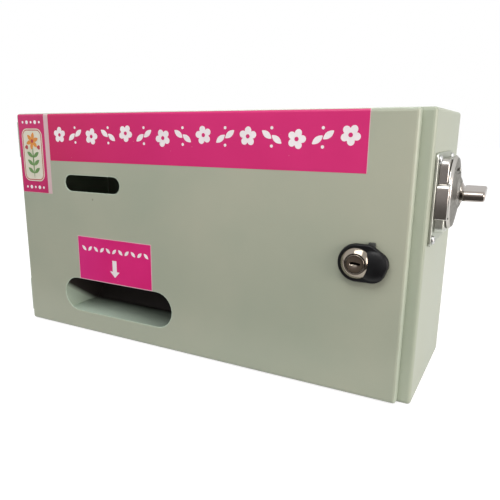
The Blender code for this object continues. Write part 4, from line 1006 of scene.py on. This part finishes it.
def bandShell(x0, x1, z0):
    # a strip of rectangles carried up the face and round the top edge, one ring at each height
    heights = np.unique(np.concatenate([np.linspace(z0, edgeStart, 6), np.linspace(edgeStart, labelTop, 10)]))
    corners = (x0, -labelSunk), (x1, -labelSunk), (x1, labelThick), (x0, labelThick)
    return ringStack([[doorPoints((x, height), off) for x, off in corners] for height in heights])


def flatShell(outline, low=inkLow, high=inkHigh):
    # a thin plate of any outline lying on the door
    return ringStack([doorPoints(outline, low), doorPoints(outline, high)])


def dot(centre, radius, steps=24):
    return centre + radius * rays(np.linspace(0, fullTurn, steps, endpoint=False))


def petalled(centre, radius, petals, depth, spin, steps=70):
    # radius swells and shrinks with the cosine of the angle times the number of petals
    a = np.linspace(0, fullTurn, steps, endpoint=False)
    r = radius * (1 - depth + depth * np.abs(np.cos(petals * (a - spin) / 2)) ** 0.7)
    return centre + r[:, None] * rays(a)


def leaf(centre, long, wide, spin, steps=30):
    # two mirrored sine arcs that meet in points
    t = np.linspace(0, 1, steps)
    half = np.stack([(t - 0.5) * long, wide / 2 * np.sin(math.pi * t) ** 0.8], 1)
    return np.vstack([half[::-1], half[1:-1] * np.array([1, -1])]) @ spinBy(spin) + np.array(centre)


def labelPiece(name, material, *shells):
    meshPiece(name, together(*shells), material, "door")


def makeTitleBand():
    # blossoms with a heart in turn with pairs of leaves that have a bead above and one below
    look = {"x": (0.0507, 0.4113), "low": 0.1978, "row": 0.2262, "from": 0.068, "to": 0.396, "count": 15,
            "sway": 0.0022, "blossom": (0.0086, 5, 0.42), "heart": 0.0019, "leaf": (0.0116, 0.0054), "lean": 0.65,
            "leafOff": (0.0048, 0.0034), "bead": 0.0014, "beadOff": 0.0078}
    ((x0, x1), low, row, first, last, count, sway, blossom, heart, leafSize, lean,
     leafOff, bead, beadOff) = look.values()
    labelPiece("titleBand", titleVinyl, bandShell(left + x0, left + x1, bottom + low))
    motifs, hearts = [], []
    for i, x in enumerate(np.linspace(left + first, left + last, count)):
        if i % 2 == 0:
            at = np.array([x, bottom + row + sway * math.sin(i * 1.9)])
            motifs.append(flatShell(petalled(at, *blossom, 0.3 + 0.5 * i)))
            hearts.append(flatShell(dot(at, heart, 28), inkLow + motifThick / 2, inkHigh + motifThick))
            continue
        tilt = lean if i % 4 == 1 else -lean
        for side in (-1, 1):
            at = x + side * leafOff[0], bottom + row + side * math.sin(tilt) * leafOff[1]
            motifs.append(flatShell(leaf(at, *leafSize, tilt)))
        for side in (1, -1):
            motifs.append(flatShell(dot((x, bottom + row + side * math.copysign(beadOff, tilt)), bead)))
    labelPiece("titleMotifs", whiteInk, *motifs)
    labelPiece("titleDots", titleVinyl, *hearts)


def makeEmblemLabel():
    # a pale panel with a sprig: a stem, leaves in pairs, one open blossom and two buds, and beads above and below
    look = {"x": (0.0028, 0.0504), "low": 0.1600, "panel": (0.0072, 0.1735, 0.0400, 0.2330), "corner": 0.0085,
            "line": (0.0012, 0.0022), "stem": (0.0236, 0.1965), "stemSize": (0.040, 0.0020),
            "leafRows": (0.1857, 0.1947, 0.2037), "leaf": (0.0108, 0.0044), "lean": 0.62, "bloom": (0.0236, 0.2190),
            "petals": 6, "petal": (0.0092, 0.0046), "petalOff": 0.0054, "heart": 0.0021, "bud": (0.0026, 3, 0.25),
            "budOff": (0.0098, 0.2120), "beadRows": (0.1665, 0.2400), "beads": 5, "beadIn": 0.003, "bead": 0.0014}
    ((x0, x1), low, panel, corner, line, stem, stemSize, leafRows, leafSize, lean, bloom, petals, petal, petalOff,
     heart, bud, budOff, beadRows, beads, beadIn, bead) = look.values()
    labelPiece("emblemLabel", emblemVinyl, bandShell(left + x0, left + x1, bottom + low))
    base, upper = inkHigh - labelSunk, inkHigh + motifThick * 0.6

    origin = np.array([left, bottom])
    panelLow, panelHigh = origin + panel[:2], origin + panel[2:]

    def panelOutline(inset):
        return cornered(boxed(*(panelLow + inset), *(panelHigh - inset), corner - inset), spacing=0.01)

    labelPiece("emblemPanel", paleInk, flatShell(panelOutline(0.0)))
    edges = (line[0], base), (line[0], upper), (line[1], upper), (line[1], base)
    frameBand = ringLoop([doorPoints(panelOutline(inset), off) for inset, off in edges])
    greens = [flatShell(leaf(origin + stem, *stemSize, quarterTurn), base, upper)]
    for row in leafRows:
        for side in (-1, 1):
            at = left + stem[0] + side * leafSize[0] * 0.45, bottom + row
            greens.append(flatShell(leaf(at, *leafSize, side * lean), base, upper + 0.00002))
    labelPiece("emblemLeaves", greenInk, *greens)
    bloomAt = origin + bloom
    angles = np.linspace(0.3, fullTurn + 0.3, petals, endpoint=False)
    leaves = [leaf(at, *petal, a) for at, a in zip(bloomAt + petalOff * rays(angles), angles)]
    labelPiece("emblemBloom", orangeInk, *(flatShell(outline, base, upper + 0.00004) for outline in leaves))
    buds = [flatShell(petalled((bloomAt[0] + side * budOff[0], bottom + budOff[1]), *bud, side), base, upper)
            for side in (-1, 1)]
    labelPiece("emblemRed", redInk, frameBand, flatShell(dot(bloomAt, heart), base, upper + 0.00008), *buds)
    spots = np.linspace(panelLow[0] + beadIn, panelHigh[0] - beadIn, beads)
    labelPiece("emblemBeads", whiteInk, *(flatShell(dot((x, bottom + row), bead * (1.5 if i % 2 else 1)))
                                          for row in beadRows for i, x in enumerate(spots)))


def makeCollectLabel():
    # an arrow down to the slot, under a row of leaves
    look = {"x": (0.0856, 0.1900), "z": (0.0642, 0.1150), "arrow": 0.1387, "arrowTop": 0.0912, "arrowTip": 0.0718,
            "headTop": 0.0787, "head": 0.0138, "shaft": 0.0059, "row": 0.1015, "from": 0.0950, "to": 0.1830,
            "count": 11, "leaf": (0.0078, 0.0036), "lean": 0.75}
    (x0, x1), (z0, z1), x, top, tip, head, wide, thin, row, first, last, count, leafSize, lean = look.values()
    outline = cornered(boxed(left + x0, bottom + z0, left + x1, bottom + z1, 0.0005), 4, 0.01)
    labelPiece("collectLabel", collectVinyl, flatShell(outline, -labelSunk, labelThick))
    arrow = [(0, tip, 0.0003), (wide / 2, head, 0.0003), (thin / 2, head, 0.0002), (thin / 2, top, 0.0003),
             (-thin / 2, top, 0.0003), (-thin / 2, head, 0.0002), (-wide / 2, head, 0.0003)]
    shells = [flatShell(cornered(np.array(arrow) + (left + x, bottom, 0), 3, 0.01))]
    for i, at in enumerate(np.linspace(left + first, left + last, count)):
        shells.append(flatShell(leaf((at, bottom + row), *leafSize, lean if i % 2 else -lean)))
    labelPiece("collectMotifs", whiteInk, *shells)


titleVinyl = vinylMaterial(
    "titleVinyl", (0.640, 0.013, 0.165), (0.570, 0.009, 0.140), 7.0,
    sweep=(left + 0.05, left + 0.20, (0.540, 0.006, 0.100)),
    borders=[(0, left + 0.0511, left + 0.4108)], border=(0.66, 0.42, 0.47))
emblemVinyl = vinylMaterial(
    "emblemVinyl", (0.580, 0.018, 0.150), (0.480, 0.013, 0.115), 30.0,
    borders=[(0, -1.0, left + 0.0443), (2, bottom + 0.1604, 1.0)], border=(0.62, 0.44, 0.46))
collectVinyl = vinylMaterial(
    "collectVinyl", (0.680, 0.008, 0.180), (0.620, 0.006, 0.155), 20.0,
    sweep=(left + 0.086, left + 0.140, (0.650, 0.012, 0.195)),
    borders=[(0, left + 0.0863, left + 0.1893), (2, bottom + 0.0649, bottom + 0.1143)], border=(0.68, 0.44, 0.50))
whiteInk = vinylMaterial("whiteInk", (0.88, 0.84, 0.86), (0.80, 0.74, 0.77), 25.0)
paleInk = vinylMaterial("paleInk", (0.72, 0.70, 0.60), (0.62, 0.60, 0.48), 90.0)
redInk = vinylMaterial("redInk", (0.48, 0.05, 0.06), (0.38, 0.04, 0.05), 120.0)
orangeInk = vinylMaterial("orangeInk", (0.72, 0.30, 0.05), (0.62, 0.22, 0.04), 120.0)
greenInk = vinylMaterial("greenInk", (0.16, 0.30, 0.10), (0.10, 0.22, 0.07), 120.0)
makeTitleBand()
makeEmblemLabel()
makeCollectLabel()
print("stage: labels made")
